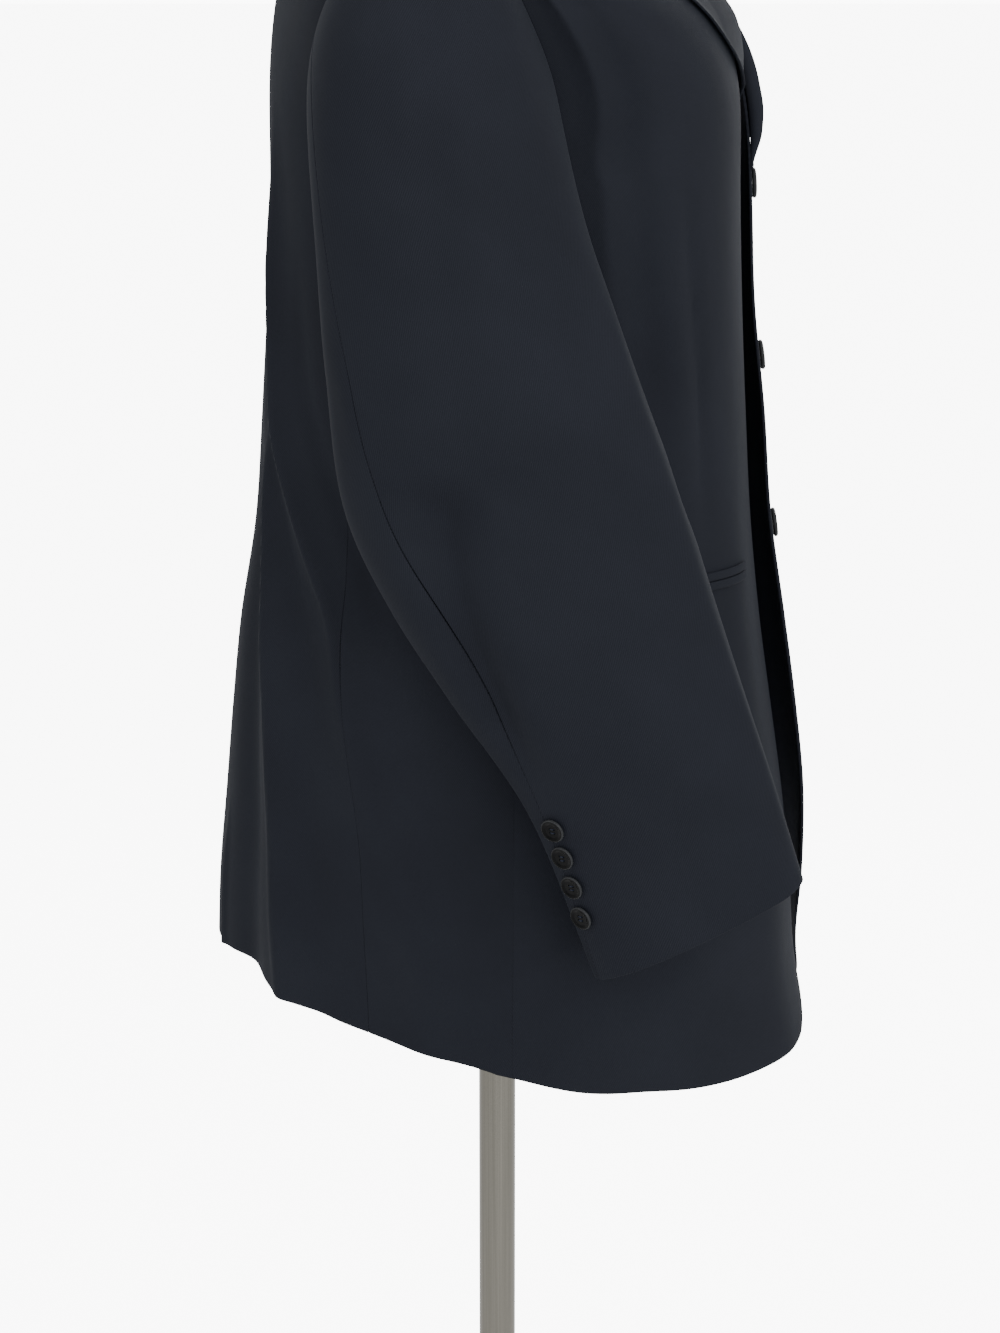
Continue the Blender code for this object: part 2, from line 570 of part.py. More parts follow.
def collar_surface(s, v):
    """s runs from the stand's seam over the fold (at 0.4) to the fall's edge, v from the
    right front end (-1) round the nape (0) to the left front end (1)."""
    u = 1 - np.abs(v)
    fold, seam, edge = (collar_curve(c, u) for c in (COLLAR_FOLD, COLLAR_SEAM, COLLAR_EDGE))
    up = np.clip(s / 0.4, 0, 1)
    down = np.clip((s - 0.4) / 0.6, 0, 1)
    stand = [a + (b - a) * up ** 0.8 for a, b in zip(seam, fold)]
    fall = [a + (b - a) * down for a, b in zip(fold, edge)]
    # the front end follows the gorge seam to the notch, and then the notch's upper side
    end = smooth_step(1 - u / 0.25)
    bend = 0.62
    to_notch = np.clip(down / bend, 0, 1)
    past = np.clip((down - bend) / (1 - bend), 0, 1)
    end_x = COLLAR_FOLD[0][0] + (NOTCH[0] - COLLAR_FOLD[0][0]) * to_notch
    end_x = end_x + (COLLAR_EDGE[0][0] - NOTCH[0]) * past
    end_z = COLLAR_FOLD[0][2] + (NOTCH[1] - COLLAR_FOLD[0][2]) * to_notch
    end_z = end_z + (COLLAR_EDGE[0][2] - NOTCH[1]) * past
    line_x = COLLAR_FOLD[0][0] + (COLLAR_EDGE[0][0] - COLLAR_FOLD[0][0]) * down
    line_z = COLLAR_FOLD[0][2] + (COLLAR_EDGE[0][2] - COLLAR_FOLD[0][2]) * down
    fall[0] = fall[0] + (end_x - line_x) * end
    fall[2] = fall[2] + (end_z - line_z) * end
    clear = 0.0046 + 0.004 * np.sin(np.pi * down)
    fall[1], fall[2] = lift_off_body(fall[0], fall[1], fall[2], clear)
    mix = (s > 0.4)
    x, y, z = (np.where(mix, b, a) for a, b in zip(stand, fall))
    crest = 0.0022 * np.exp(-((s - 0.4) / 0.07) ** 2)
    return stack(x * np.where(v < 0, -1, 1), y, z + crest)


def collar_and_lapels(fabric):
    columns = np.concatenate([[0, 0.1, 0.2, 0.3], np.linspace(0.44, 1, 6)])
    rows = np.array([0, 0.06, 0.14, 0.25, 0.38, 0.52, 0.66, 0.8, 0.92, 1.0])
    for word, side in (("right", -1), ("left", 1)):
        cloth(f"{word}_lapel", lapel_surface(side), columns, rows, fabric, side,
              (0, 1, 0, 1), 1, 0.0016)
    around = np.concatenate([np.linspace(-1, -0.7, 6), np.linspace(-0.6, 0.6, 13),
                             np.linspace(0.7, 1, 6)])
    across = np.array([0, 0.18, 0.32, 0.4, 0.47, 0.6, 0.75, 0.88, 1.0])
    v, s = np.meshgrid(around, across, indexing="ij")
    outer = collar_surface(s, v)
    along_s = collar_surface(np.minimum(s + 0.02, 1), v) - collar_surface(np.maximum(s - 0.02, 0), v)
    along_v = (collar_surface(s, np.minimum(v + 0.01, 1))
               - collar_surface(s, np.maximum(v - 0.01, -1)))
    normal = np.cross(along_v, along_s)
    normal = normal / np.linalg.norm(normal, axis=2, keepdims=True)
    wall("collar", outer, outer - 0.0016 * normal, fabric)


# ---- buttons and pockets ----
def button(name, centre, normal, radius, horn):
    """A turned button: flat back, rounded rim and a dished face."""
    profile = ((0.0, 0.0), (0.82, 0.0), (1.0, 0.13), (0.95, 0.28), (0.76, 0.28), (0.62, 0.20),
               (0.0, 0.18))
    sides = 14
    axis = Vector(normal).normalized()
    turn = axis.to_track_quat("Z", "Y")
    points, faces = [], []
    for r, h in profile[1:-1]:
        for k in range(sides):
            angle = 2 * math.pi * k / sides
            local = Vector((math.cos(angle) * r, math.sin(angle) * r, h)) * radius
            points.append(turn @ local + Vector(centre))
    levels = len(profile) - 2
    for level in range(levels - 1):
        for k in range(sides):
            a, b = level * sides + k, level * sides + (k + 1) % sides
            faces.append((a, b, b + sides, a + sides))
    points.append(turn @ (Vector((0, 0, profile[0][1])) * radius) + Vector(centre))
    points.append(turn @ (Vector((0, 0, profile[-1][1])) * radius) + Vector(centre))
    low, high = len(points) - 2, len(points) - 1
    for k in range(sides):
        faces.append((low, (k + 1) % sides, k))
        top = (levels - 1) * sides
        faces.append((high, top + k, top + (k + 1) % sides))
    return make_object(name, points, faces, horn)


def spot(surface, s, v, side, turn=1):
    """A point on a cloth surface and its outward normal."""
    s, v = np.array([[float(s)]]), np.array([[float(v)]])
    mirror = np.array([side, 1.0, 1.0])
    point = surface(s, v)[0, 0] * mirror
    normal = turn * grid_normals(surface, s, v, (-1, 2, -1, 3))[0, 0] * mirror
    return point, normal


def buttons(horn):
    # the left front's surface at x = 0: find the share of its width that the centre line takes
    surface = front_surface(1)
    for number, z in enumerate(BUTTON_Z, 1):
        v = (z - HEM_FRONT) / (YOKE_FRONT - HEM_FRONT)
        start = float(angle_of_x(-OVERLAP, z))
        s = -start / (T_SIDE - start)
        point, normal = spot(surface, s, v, 1)
        button(f"front_button_{number}", point + 0.0009 * normal, normal, FRONT_BUTTON_R, horn)
    outer = sleeve_surface(0)
    for word, side in (("right", -1), ("left", 1)):
        for number in range(4):
            psi = 36.0 - 2.5 * number
            down = 0.856 + 0.0285 * number
            v = SLEEVE_CAP + (1 - SLEEVE_CAP) * down
            s = (psi - FORE_SEAM) / (hind_seam(v) - FORE_SEAM)
            point, normal = spot(outer, s, v, side, -1)
            button(f"{word}_cuff_button_{number + 1}", point + 0.0012 * normal, normal,
                   CUFF_BUTTON_R, horn)


def pocket_surface(side, lower_edge, height, lift):
    """A strip on the front: s runs back from its front end, v up from its lower edge."""
    panel = front_surface(side)
    front_end, back_end = 0.32, 0.88

    def surface(s, v):
        z = lower_edge + height * v - 0.002 * s
        row = (z - HEM_FRONT - 0.004) / (YOKE_FRONT - HEM_FRONT - 0.004)
        column = front_end + (back_end - front_end) * s
        point = panel(column, row)
        normal = grid_normals(panel, column, row, (-1, 2, -1, 3))
        return point + lift * normal
    return surface


def pockets(fabric):
    for word, side in (("right", -1), ("left", 1)):
        for part, low in (("upper_jet", 1.0795), ("lower_jet", 1.0735)):
            surface = pocket_surface(side, low, 0.0056, 0.0018)
            cloth(f"{word}_pocket_{part}", surface, np.linspace(0, 1, 9), np.linspace(0, 1, 3),
                  fabric, side, (0, 1, 0, 1), 1, 0.0014)


# ---- dress form and stand ----
FORM_COLUMNS = ("z", "half_width", "front_y", "back_y")
FORM_SECTIONS = (
    (FORM_BOTTOM, 0.148, -0.150, 0.146),
    (0.90, 0.152, -0.152, 0.148),
    (0.98, 0.150, -0.144, 0.142),
    (1.07, 0.144, -0.134, 0.130),
    (1.16, 0.146, -0.134, 0.124),
    (1.25, 0.158, -0.138, 0.126),
    (1.33, 0.166, -0.136, 0.127),
    (1.39, 0.172, -0.118, 0.124),
    (1.43, 0.172, -0.086, 0.114),
    (1.46, 0.162, -0.058, 0.104),
    (1.485, 0.136, -0.036, 0.094),
    (1.505, 0.092, -0.028, 0.083),
    (1.525, 0.062, -0.026, 0.076),
    (1.55, 0.053, -0.027, 0.073),
    (1.60, 0.052, -0.028, 0.072),
)


def form(name, z):
    return smooth_table(FORM_SECTIONS, FORM_COLUMNS, name, z)


def form_ring(t, z, power=2.2):
    """A full ring of the dress form, t from 0 to 360."""
    middle = (form("front_y", z) + form("back_y", z)) / 2
    half = (form("back_y", z) - form("front_y", z)) / 2
    x = form("half_width", z) * signed_power(sin_deg(t), 2 / power)
    return stack(x, middle - half * signed_power(cos_deg(t), 2 / power), z + 0 * t)


def closed_stack(name, rings, material_used):
    """A solid through closed rings of points, with a flat end at each."""
    levels, sides = rings.shape[:2]
    points = rings.reshape(-1, 3)
    faces = []
    for level in range(levels - 1):
        for k in range(sides):
            a, b = level * sides + k, level * sides + (k + 1) % sides
            faces.append((a, b, b + sides, a + sides))
    faces.append(tuple(range(sides - 1, -1, -1)))
    faces.append(tuple(range((levels - 1) * sides, levels * sides)))
    return make_object(name, points, faces, material_used)


def turned(name, profile, sides, material_used):
    """A solid turned about Z through (radius, height) pairs, lowest first."""
    t = np.arange(sides) * 360.0 / sides
    rings = [stack(r * cos_deg(t), r * sin_deg(t), h + 0 * t) for r, h in profile]
    return closed_stack(name, np.array(rings), material_used)


def form_and_stand(linen, steel, wood):
    heights = (0.850, 0.856, 0.91, 0.97, 1.04, 1.11, 1.18, 1.25, 1.32, 1.37, 1.41, 1.44, 1.465,
               1.485, 1.50, 1.515, 1.535, 1.594)
    t = np.arange(26) * 360.0 / 26
    rings = np.array([form_ring(t, z) for z in heights])
    rings[0, :, :2] *= 0.965
    closed_stack("form_torso", rings, linen)
    top = form_ring(t, 1.60)
    middle = np.array([0.0, (form("front_y", 1.60) + form("back_y", 1.60)) / 2, 0.0])
    cap = [middle + (top - middle) * (k, k, 1) + (0, 0, h)
           for k, h in ((1.02, -0.0055), (1.04, 0.0), (1.0, 0.012), (0.86, 0.020), (0.5, 0.025))]
    closed_stack("form_neck_cap", np.array(cap), wood)
    hub = ((0.030, 0.0), (0.030, 0.030), (0.024, 0.040), (0.018, 0.062))
    base = ((BASE_R, 0.0), (BASE_R, 0.008), (BASE_R - 0.004, BASE_H), (0.032, BASE_H + 0.004))
    turned("stand_base", base, 48, steel)
    base_top = BASE_H + 0.004 + SEAM_GAP
    turned("stand_hub", [(r, h + base_top) for r, h in hub], 24, steel)
    hub_top = base_top + 0.062 + SEAM_GAP
    turned("stand_pole", [(POLE_R, hub_top), (POLE_R, FORM_BOTTOM - SEAM_GAP)], 24, steel)


def main():
    for old in list(bpy.data.objects):
        bpy.data.objects.remove(old, do_unlink=True)
    navy = material("navy_worsted", (0.010, 0.013, 0.022), 0.75)
    horn = material("dark_horn", (0.016, 0.017, 0.020), 0.35)
    steel = material("polished_steel", (0.62, 0.61, 0.58), 0.18, 1.0)
    linen = material("form_linen", (0.66, 0.60, 0.50), 0.85)
    wood = material("turned_wood", (0.30, 0.17, 0.08), 0.45)
    body_panels(navy)
    sleeves(navy)
    collar_and_lapels(navy)
    pockets(navy)
    buttons(horn)
    form_and_stand(linen, steel, wood)


main()
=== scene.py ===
"""A dark suit jacket worn by a limbless dress form, on a polished pole stand.

The jacket faces -Y, the wearer's right is towards -X, and the stand's base rests on z = 0.
"Own" x is measured from the centre line towards the side that a piece belongs to.
"""
import functools
import math

import bpy
import numpy as np
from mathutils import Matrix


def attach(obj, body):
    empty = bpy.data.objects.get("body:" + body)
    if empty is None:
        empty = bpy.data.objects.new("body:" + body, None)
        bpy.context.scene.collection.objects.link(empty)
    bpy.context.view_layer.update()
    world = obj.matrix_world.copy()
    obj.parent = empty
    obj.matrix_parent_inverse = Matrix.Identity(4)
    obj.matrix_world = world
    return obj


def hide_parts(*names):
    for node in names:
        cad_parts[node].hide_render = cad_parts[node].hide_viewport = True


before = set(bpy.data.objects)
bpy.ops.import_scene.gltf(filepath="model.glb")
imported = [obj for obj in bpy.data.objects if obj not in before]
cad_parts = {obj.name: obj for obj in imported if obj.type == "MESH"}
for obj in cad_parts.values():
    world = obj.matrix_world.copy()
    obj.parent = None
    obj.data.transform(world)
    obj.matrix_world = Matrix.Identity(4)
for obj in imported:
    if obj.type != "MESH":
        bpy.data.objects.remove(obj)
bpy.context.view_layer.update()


# ---- the studio ----
# A pale floor without end, a white room, and soft boxes: one by the camera, one to each side
# of it, one overhead and one on the far side. The camera looks at the wearer's right. Seen
# straight, floor and walls are lit past white, as the photograph's backdrop is.
FLOOR_RADIUS, FLOOR_SIDES, FLOOR_SEEN = 400, 96, 8
ROOM_LIGHT, ROOM_SEEN = 0.9, 10


def new_object(name, data):
    """Puts a mesh, a lamp or the camera in the scene."""
    made = bpy.data.objects.new(name, data)
    bpy.context.collection.objects.link(made)
    return made


# Nodes are added with their inputs by name; an underscore stands for a space, and an output
# of another node given as the value is linked.
def feed(socket, value):
    if isinstance(value, bpy.types.NodeSocket):
        socket.id_data.links.new(value, socket)
    else:
        socket.default_value = value


def put(node, **inputs):
    for name, value in inputs.items():
        feed(node.inputs[name.replace("_", " ")], value)
    return node


def add(tree, kind, **inputs):
    return put(tree.nodes.new("ShaderNode" + kind), **inputs)


def new_material(name):
    made = bpy.data.materials.new(name)
    made.use_nodes = True
    return made, made.node_tree, made.node_tree.nodes["Principled BSDF"]


def calculated(tree, operation, a, b=0):
    """The output of a Math node on outputs or numbers a and b."""
    node = add(tree, "Math")
    node.operation = operation
    feed(node.inputs[0], a)
    feed(node.inputs[1], b)
    return node.outputs[0]


def ranged(tree, share, low, high):
    """An output of 0 to 1 carried over to low to high."""
    return add(tree, "MapRange", Value=share, To_Min=low, To_Max=high).outputs["Result"]


around = np.linspace(0, 2 * np.pi, FLOOR_SIDES, endpoint=False)
floor_rim = FLOOR_RADIUS * np.stack([np.cos(around), np.sin(around), 0 * around], -1)
floor_mesh = bpy.data.meshes.new("studio_floor")
floor_mesh.from_pydata(floor_rim.tolist(), [], [list(range(FLOOR_SIDES))])
floor_paint, floor_tree, floor_shader = new_material("floor_paint")
floor_seen = add(floor_tree, "LightPath").outputs["Is Camera Ray"]
put(floor_shader, Base_Color=(0.86, 0.86, 0.86, 1), Roughness=0.9, Specular_IOR_Level=0,
    Emission_Color=(1, 1, 1, 1),
    Emission_Strength=calculated(floor_tree, "MULTIPLY", floor_seen, FLOOR_SEEN))
floor_mesh.materials.append(floor_paint)
studio_floor = new_object("studio_floor", floor_mesh)

room = bpy.data.worlds.new("white_room")
room.use_nodes = True
room_seen = add(room.node_tree, "LightPath").outputs["Is Camera Ray"]
put(room.node_tree.nodes["Background"], Color=(1, 1, 1, 1),
    Strength=ranged(room.node_tree, room_seen, ROOM_LIGHT, ROOM_SEEN))
bpy.context.scene.world = room

# each soft box: where it stands, what it looks at, its two sides and its power in watts
soft_boxes = {
    "box_in_front": ((-1.5, -2.4, 2.3), (0, 0, 1.15), (1.8, 2.2), 30),
    "box_by_camera": ((-3, -0.6, 1.7), (0, 0, 1.1), (2, 2), 46),
    "box_behind": ((-1.4, 2.6, 2), (0, 0, 1.15), (1.2, 2.2), 16),
    "box_above": ((-0.6, 0, 3.6), (0, 0, 1.2), (2.2, 2.2), 30),
    "box_far_side": ((2.6, -0.6, 2), (0, 0, 1.15), (1.8, 2.2), 40),
}
for box_name, (place, target, (wide, high), power) in soft_boxes.items():
    lamp = bpy.data.lights.new(box_name, "AREA")
    lamp.shape, lamp.size, lamp.size_y, lamp.energy = "RECTANGLE", wide, high, power
    box = new_object(box_name, lamp)
    box.location = place
    aim = np.array(target) - np.array(place)
    box.rotation_euler = (math.acos(-aim[2] / np.linalg.norm(aim)), 0,
                          math.atan2(aim[1], aim[0]) - math.pi / 2)

lens = bpy.data.cameras.new("camera")
lens.sensor_width = 36
lens.lens = 72.92           # the photograph's longer side takes in 27.8 degrees
lens.clip_end = 1000
camera = new_object("camera", lens)
camera.location = (-1.8, -0.002, 1.439)
camera.rotation_euler = (math.radians(76), 0, math.radians(-90))
bpy.context.scene.camera = camera


# ---- the body's form ----
# The jacket's body is a tube of superellipse sections, rounder towards the hem, that turns
# over chest and back to the shoulder seams. Folds are ridges and hollows laid along lines
# of angle t (0 at the centre front, 180 at the centre back) and height z.
BODY = np.array([
    # z, half width, front, back, power in front, power behind, left front's stand-off
    (.73, .193, .22, .199, 2.1, 1.75, 0),
    (.79, .191, .208, .196, 2.1, 1.78, .001),
    (.85, .188, .203, .193, 2.15, 1.85, .007),
    (.91, .184, .196, .187, 2.2, 1.92, .013),
    (.97, .181, .187, .181, 2.25, 2.05, .015),
    (1.03, .178, .178, .174, 2.3, 2.2, .015),
    (1.1, .176, .17, .162, 2.4, 2.35, .012),
    (1.17, .178, .165, .156, 2.5, 2.5, .011),
    (1.24, .184, .161, .151, 2.5, 2.5, .007),
    (1.32, .188, .158, .147, 2.5, 2.5, .006),
    (1.38, .19, .157, .147, 2.5, 2.5, .003),
])
HALF_WIDTH, FRONT, BACK, FRONT_POWER, BACK_POWER, STAND_OFF = range(1, 7)
CLOTH = 0.002               # thickness of the cloth with its canvas or turned-in edge
CHEST_POWER, CHEST_SPREAD = 2.5, 0.045      # the width gains this much above the yoke
NECK_X, NECK_Z, NAPE_RISE = 0.075, 1.535, 0.028
TIP_X, TIP_Z, RIDGE_Y = 0.218, 1.48, 0.034
FRONT_ROUND, BACK_ROUND, CHEST_FULLNESS = 1.8, 2.4, 0.009
ARM_Z, ARM_RY, ARM_RZ = 1.392, 0.072, 0.088
ARM_LEAN = 0.24             # how much the armhole's upper front draws back
PSI_FRONT, PSI_BACK = 230, 330


def smooth_table(rows, column, at):
    """A table's column read with a cubic whose slopes are the table's own gradients."""
    keys, values = rows[:, 0], rows[:, column]
    slopes = np.gradient(values, keys)
    at = np.clip(at, keys[0], keys[-1])
    k = np.clip(np.searchsorted(keys, at) - 1, 0, len(keys) - 2)
    step = keys[k + 1] - keys[k]
    u = (at - keys[k]) / step
    return ((2 * u**3 - 3 * u**2 + 1) * values[k] + (u**3 - 2 * u**2 + u) * step * slopes[k]
            + (3 * u**2 - 2 * u**3) * values[k + 1] + (u**3 - u**2) * step * slopes[k + 1])


def ease(x):
    """0 below 0, 1 above 1, and 3x squared less 2x cubed between."""
    x = np.clip(x, 0, 1)
    return x * x * (3 - 2 * x)


# of angles in degrees
def sine(a):
    return np.sin(np.radians(a))


def cosine(a):
    return np.cos(np.radians(a))


def powered(x, p):
    """x to the power p, with the sign of x kept."""
    return np.sign(x) * np.abs(x) ** p


# Each fold: the line it follows as (angle, height) pairs going up, its height in mm (a hollow
# is negative), its half width in degrees, and the lengths over which it fades in at the
# bottom and out at the top. A broad fold and its sharper crest share one named line.
RIGHT_FALL = ((134, .6), (137, .8), (139.5, .9), (143, 1), (147, 1.06), (153, 1.125),
              (161, 1.26))
RIGHT_PULL = ((123.5, 1.06), (134, 1.106), (147.5, 1.17), (156, 1.276), (159, 1.4))
LEFT_FALL = ((136, .6), (140, .84), (146, 1.02), (153, 1.12), (160, 1.23))
CHEST_RISE = ((71.5, 1.32), (73, 1.366), (76, 1.424), (78, 1.52))
DART = ((43.5, 1.2), (46.5, 1.294))
DART_SEAM = ((41.5, 1.088), (43.5, 1.226), (46.5, 1.294), (49, 1.335))
RIGHT_FOLDS = (
    (RIGHT_FALL, 6, 7, .1, .16),
    (RIGHT_FALL, 3.6, 2, .1, .2),
    (((150, .6), (152, .9), (157, 1.06), (166, 1.2)), -6, 6, .1, .14),
    (((128, .6), (130, .86), (133, .98), (136, 1.04)), -2.2, 3.4, .1, .1),
    (((117, .9), (120, .985), *RIGHT_PULL), 6.4, 4.6, .1, .14),
    (((117, .94), (120, .985), *RIGHT_PULL), 2.4, 1.7, .12, .16),
    (((128, .95), (133, 1.04), (144, 1.1), (157, 1.18), (167, 1.3)), -4.2, 4, .08, .14),
    (((111, 1), (114, 1.08), (124, 1.13), (138, 1.2), (144, 1.31)), -3.2, 4, .08, .12),
    (((164, .6), (164.5, .84), (166, .92)), 2.6, 1.4, .05, .07),
    (((118, .6), (120, .98)), -5, 10, .1, .16),
    (((104, .6), (106, .78), (108, .9)), 2.6, 5, .1, .1),
    (((84, .6), (84, .92)), 4.6, 11, .1, .14),
    (((66, .6), (64, .8), (62, .9)), -2.2, 6, .1, .1),
    (((66, 1.12), (70, 1.262), *CHEST_RISE), 3.2, 4.2, .12, .1),
    (((69.5, 1.22), *CHEST_RISE), 1.2, 1.3, .08, .08),
    (((58, 1.1), (61, 1.25), (64, 1.38), (67, 1.5)), -2.4, 4.8, .12, .1),
    (((47, 1.13), (52, 1.22), (57, 1.32), (60, 1.4)), 2.4, 5.5, .1, .12),
    (((26, .6), (28, .9), (31, 1.2)), 3, 9, .1, .16),
    (((41.5, 1.06), *DART, (49, 1.345)), -1.6, 3.2, .12, .05),
    (DART_SEAM, -1.1, .45, .05, .04),
)
LEFT_FOLDS = (
    (LEFT_FALL, 5.6, 7, .1, .16),
    (LEFT_FALL, 2.8, 2.4, .1, .18),
    (((152, .6), (156, 1), (166, 1.18)), -5.5, 6.5, .1, .14),
    (((113, .94), (118, 1.02), (128, 1.09), (143, 1.18), (152, 1.27), (156, 1.38)),
     5.6, 5, .1, .14),
    (((126, .97), (138, 1.08), (153, 1.18), (163, 1.29)), -3.4, 4.4, .08, .14),
    (((120, .6), (119, .94)), -4.5, 10, .1, .16),
    (((84, .6), (85, .9)), 4.6, 12, .1, .14),
    (((62, .6), (60, .86)), -2, 6, .1, .12),
    (((64, 1.14), (68, 1.27), (71, 1.36), (74, 1.43), (76, 1.51)), 3.6, 4.4, .12, .1),
    (((56, 1.1), (60, 1.25), (63, 1.38), (66, 1.48)), -2.2, 4.8, .12, .1),
    (((28, .6), (27, .9), (26, 1.16)), 3, 8, .1, .16),
    (((41.5, 1.06), *DART, (49, 1.345)), -1.5, 3.4, .12, .05),
    (DART_SEAM, -1.1, .45, .05, .04),
)


def fold_heights(folds, t, z):
    """Sum over the folds of height x exp(-(distance / width) squared) x its two fades."""
    lift = 0
    for line, height, width, fade_in, fade_out in folds:
        angles, heights = np.array(line).T
        # the mean of three heights eases the corners of the line
        centre = sum(np.interp(z + step, heights, angles) for step in (-0.012, 0.012, 0)) / 3
        along = ease((z - heights[0]) / fade_in) * ease((heights[-1] - z) / fade_out)
        lift = lift + 0.001 * height * np.exp(-((t - centre) / width) ** 2) * along
    return lift


def body_folds(t, z, side):
    """How far the folds of this side move the cloth out, in metres."""
    return fold_heights(RIGHT_FOLDS if side < 0 else LEFT_FOLDS, t, z)


def body(column, z):
    """A column of the body's table at height z."""
    return smooth_table(BODY, column, z)


def left_over_right(x, z, side):
    """The left front lies on the right one, so near the centre line it stands proud of it, by
    a thickness and the table's stand-off, eased out to 66 mm from the line and up the chest."""
    if side < 0:
        return 0
    proud = CLOTH + 0.0006 + body(STAND_OFF, z)
    return proud * ease(1.2 - np.abs(x) / 0.055) * ease((1.475 - z) / 0.11)


def section_of(z, in_front):
    """The depth and the power of the section's front or rear half at height z."""
    depth = np.where(in_front, body(FRONT, z), body(BACK, z))
    return depth, np.where(in_front, body(FRONT_POWER, z), body(BACK_POWER, z))


def section_point(t, z):
    """x = width x sin(t) to the power 2/p, y = -depth x cos(t) to 2/p."""
    depth, power = section_of(z, cosine(t) > 0)
    return (body(HALF_WIDTH, z) * powered(sine(t), 2 / power),
            -depth * powered(cosine(t), 2 / power))


def ring(t, z, side):
    """A section's points, moved out by the folds and, on the left front, by its stand-off."""
    x, y = section_point(t, z)
    out = body_folds(t, z, side) / np.hypot(x, y)
    x, y = x * (1 + out), y * (1 + out)
    return x, y - left_over_right(x, z, side) * ease(cosine(t) * 4)


def angle_of_x(x, z):
    """The front's angle at x, whose sine is x over the half width, to the power p/2."""
    return np.degrees(np.arcsin(powered(x / body(HALF_WIDTH, z), body(FRONT_POWER, z) / 2)))


def angle_of_y(y, z):
    """The angle at y, whose cosine is -y over the depth, to the power p/2."""
    depth, power = section_of(z, y < 0)
    return np.degrees(np.arccos(-powered(y / depth, power / 2)))


def shoulder_height(x):
    """A straight slope from the neck to the tip, and a parabola's rise across the nape."""
    slope = (NECK_Z - TIP_Z) / (TIP_X - NECK_X)
    crown = NAPE_RISE * (1 - np.clip(np.abs(x) / NECK_X, 0, 1) ** 2)
    return NECK_Z - slope * np.clip(np.abs(x) - NECK_X, 0, None) + crown


def rounded(size, share):
    """A superellipse's other coordinate, where this share of its first one is reached: size
    x (1 - share to the power p) to the power 1/p."""
    return size * (1 - np.clip(np.abs(share), 0, 1) ** CHEST_POWER) ** (1 / CHEST_POWER)


def chest(x, z, base_z, front):
    """y over base_z: an upright superellipse from the section's depth to the shoulder seam,
    which the canvas holds a little forward on the upper chest."""
    power = FRONT_ROUND if front else BACK_ROUND
    width = body(HALF_WIDTH, base_z) + CHEST_SPREAD * ease((z - base_z) / 0.13)
    depth = body(FRONT if front else BACK, base_z)
    level = rounded(depth, x / width)
    up = np.clip((z - base_z) / (shoulder_height(x) - base_z), 0, 1)
    reach = (1 - up ** power) ** (1 / power)
    if not front:
        return RIDGE_Y * (1 - reach) + level * reach
    full = CHEST_FULLNESS * ease((z - base_z) / 0.09) * ease((1.468 - z) / 0.045)
    return RIDGE_Y * (1 - reach) - level * reach - full


def armhole(psi):
    """The armhole's ellipse: 0 at its rear, 90 at the shoulder, 270 underneath. Its upper
    front is drawn back towards the shoulder seam."""
    draw_back = ARM_LEAN * ease((sine(psi) + 0.45) / 1.1) * (cosine(psi) < 0)
    y = RIDGE_Y + ARM_RY * cosine(psi) * (1 - draw_back)
    z = ARM_Z + ARM_RZ * sine(psi)
    depth, _ = section_of(z, y < 0)
    low = rounded(body(HALF_WIDTH, z), y / depth)
    return low + (TIP_X - low) * ease((sine(psi) + 0.5) / 1.5), y, z


_, SIDE_Y, YOKE_FRONT = armhole(PSI_FRONT)
_, BACK_Y, YOKE_BACK = armhole(PSI_BACK)
T_SIDE, T_BACK = angle_of_y(SIDE_Y, YOKE_FRONT), angle_of_y(BACK_Y, YOKE_BACK)


# ---- cloth ----
# Dark navy worsted: a fine steep twill of two near-black blue yarns, slightly brushed, so
# that it catches a pale sheen where it turns away. Its pattern follows the cloth, by a UV
# map in metres. Each piece is a shell of two faces whose free edges are turned round.
DARK_YARN, PALE_YARN = (0.0078, 0.0088, 0.0126), (0.015, 0.0168, 0.0228)
TWILL_PITCH, TWILL_TURN = 0.0011, math.radians(28)


def mixed(tree, share, a, b, kind="FLOAT"):
    """Output a where the share is 0, and b where it is 1."""
    mix = add(tree, "Mix")
    mix.data_type = kind
    return put(mix, Factor=share, A=a, B=b).outputs["Result"]


def coloured(tree, share, low, high):
    """A ramp between two stops, each a (position, colour), read at an output's value."""
    ramp = add(tree, "ValToRGB", Fac=share)
    for element, (position, colour) in zip(ramp.color_ramp.elements, (low, high)):
        element.position, element.color = position, (*colour, 1)
    return ramp.outputs["Color"]


def bumped(tree, height, strength, distance, **under):
    return add(tree, "Bump", Height=height, Strength=strength, Distance=distance,
               **under).outputs["Normal"]


def wave_scale(pitch):
    """The Wave node's scale for bands this far apart."""
    return 2 * math.pi / (20 * pitch)


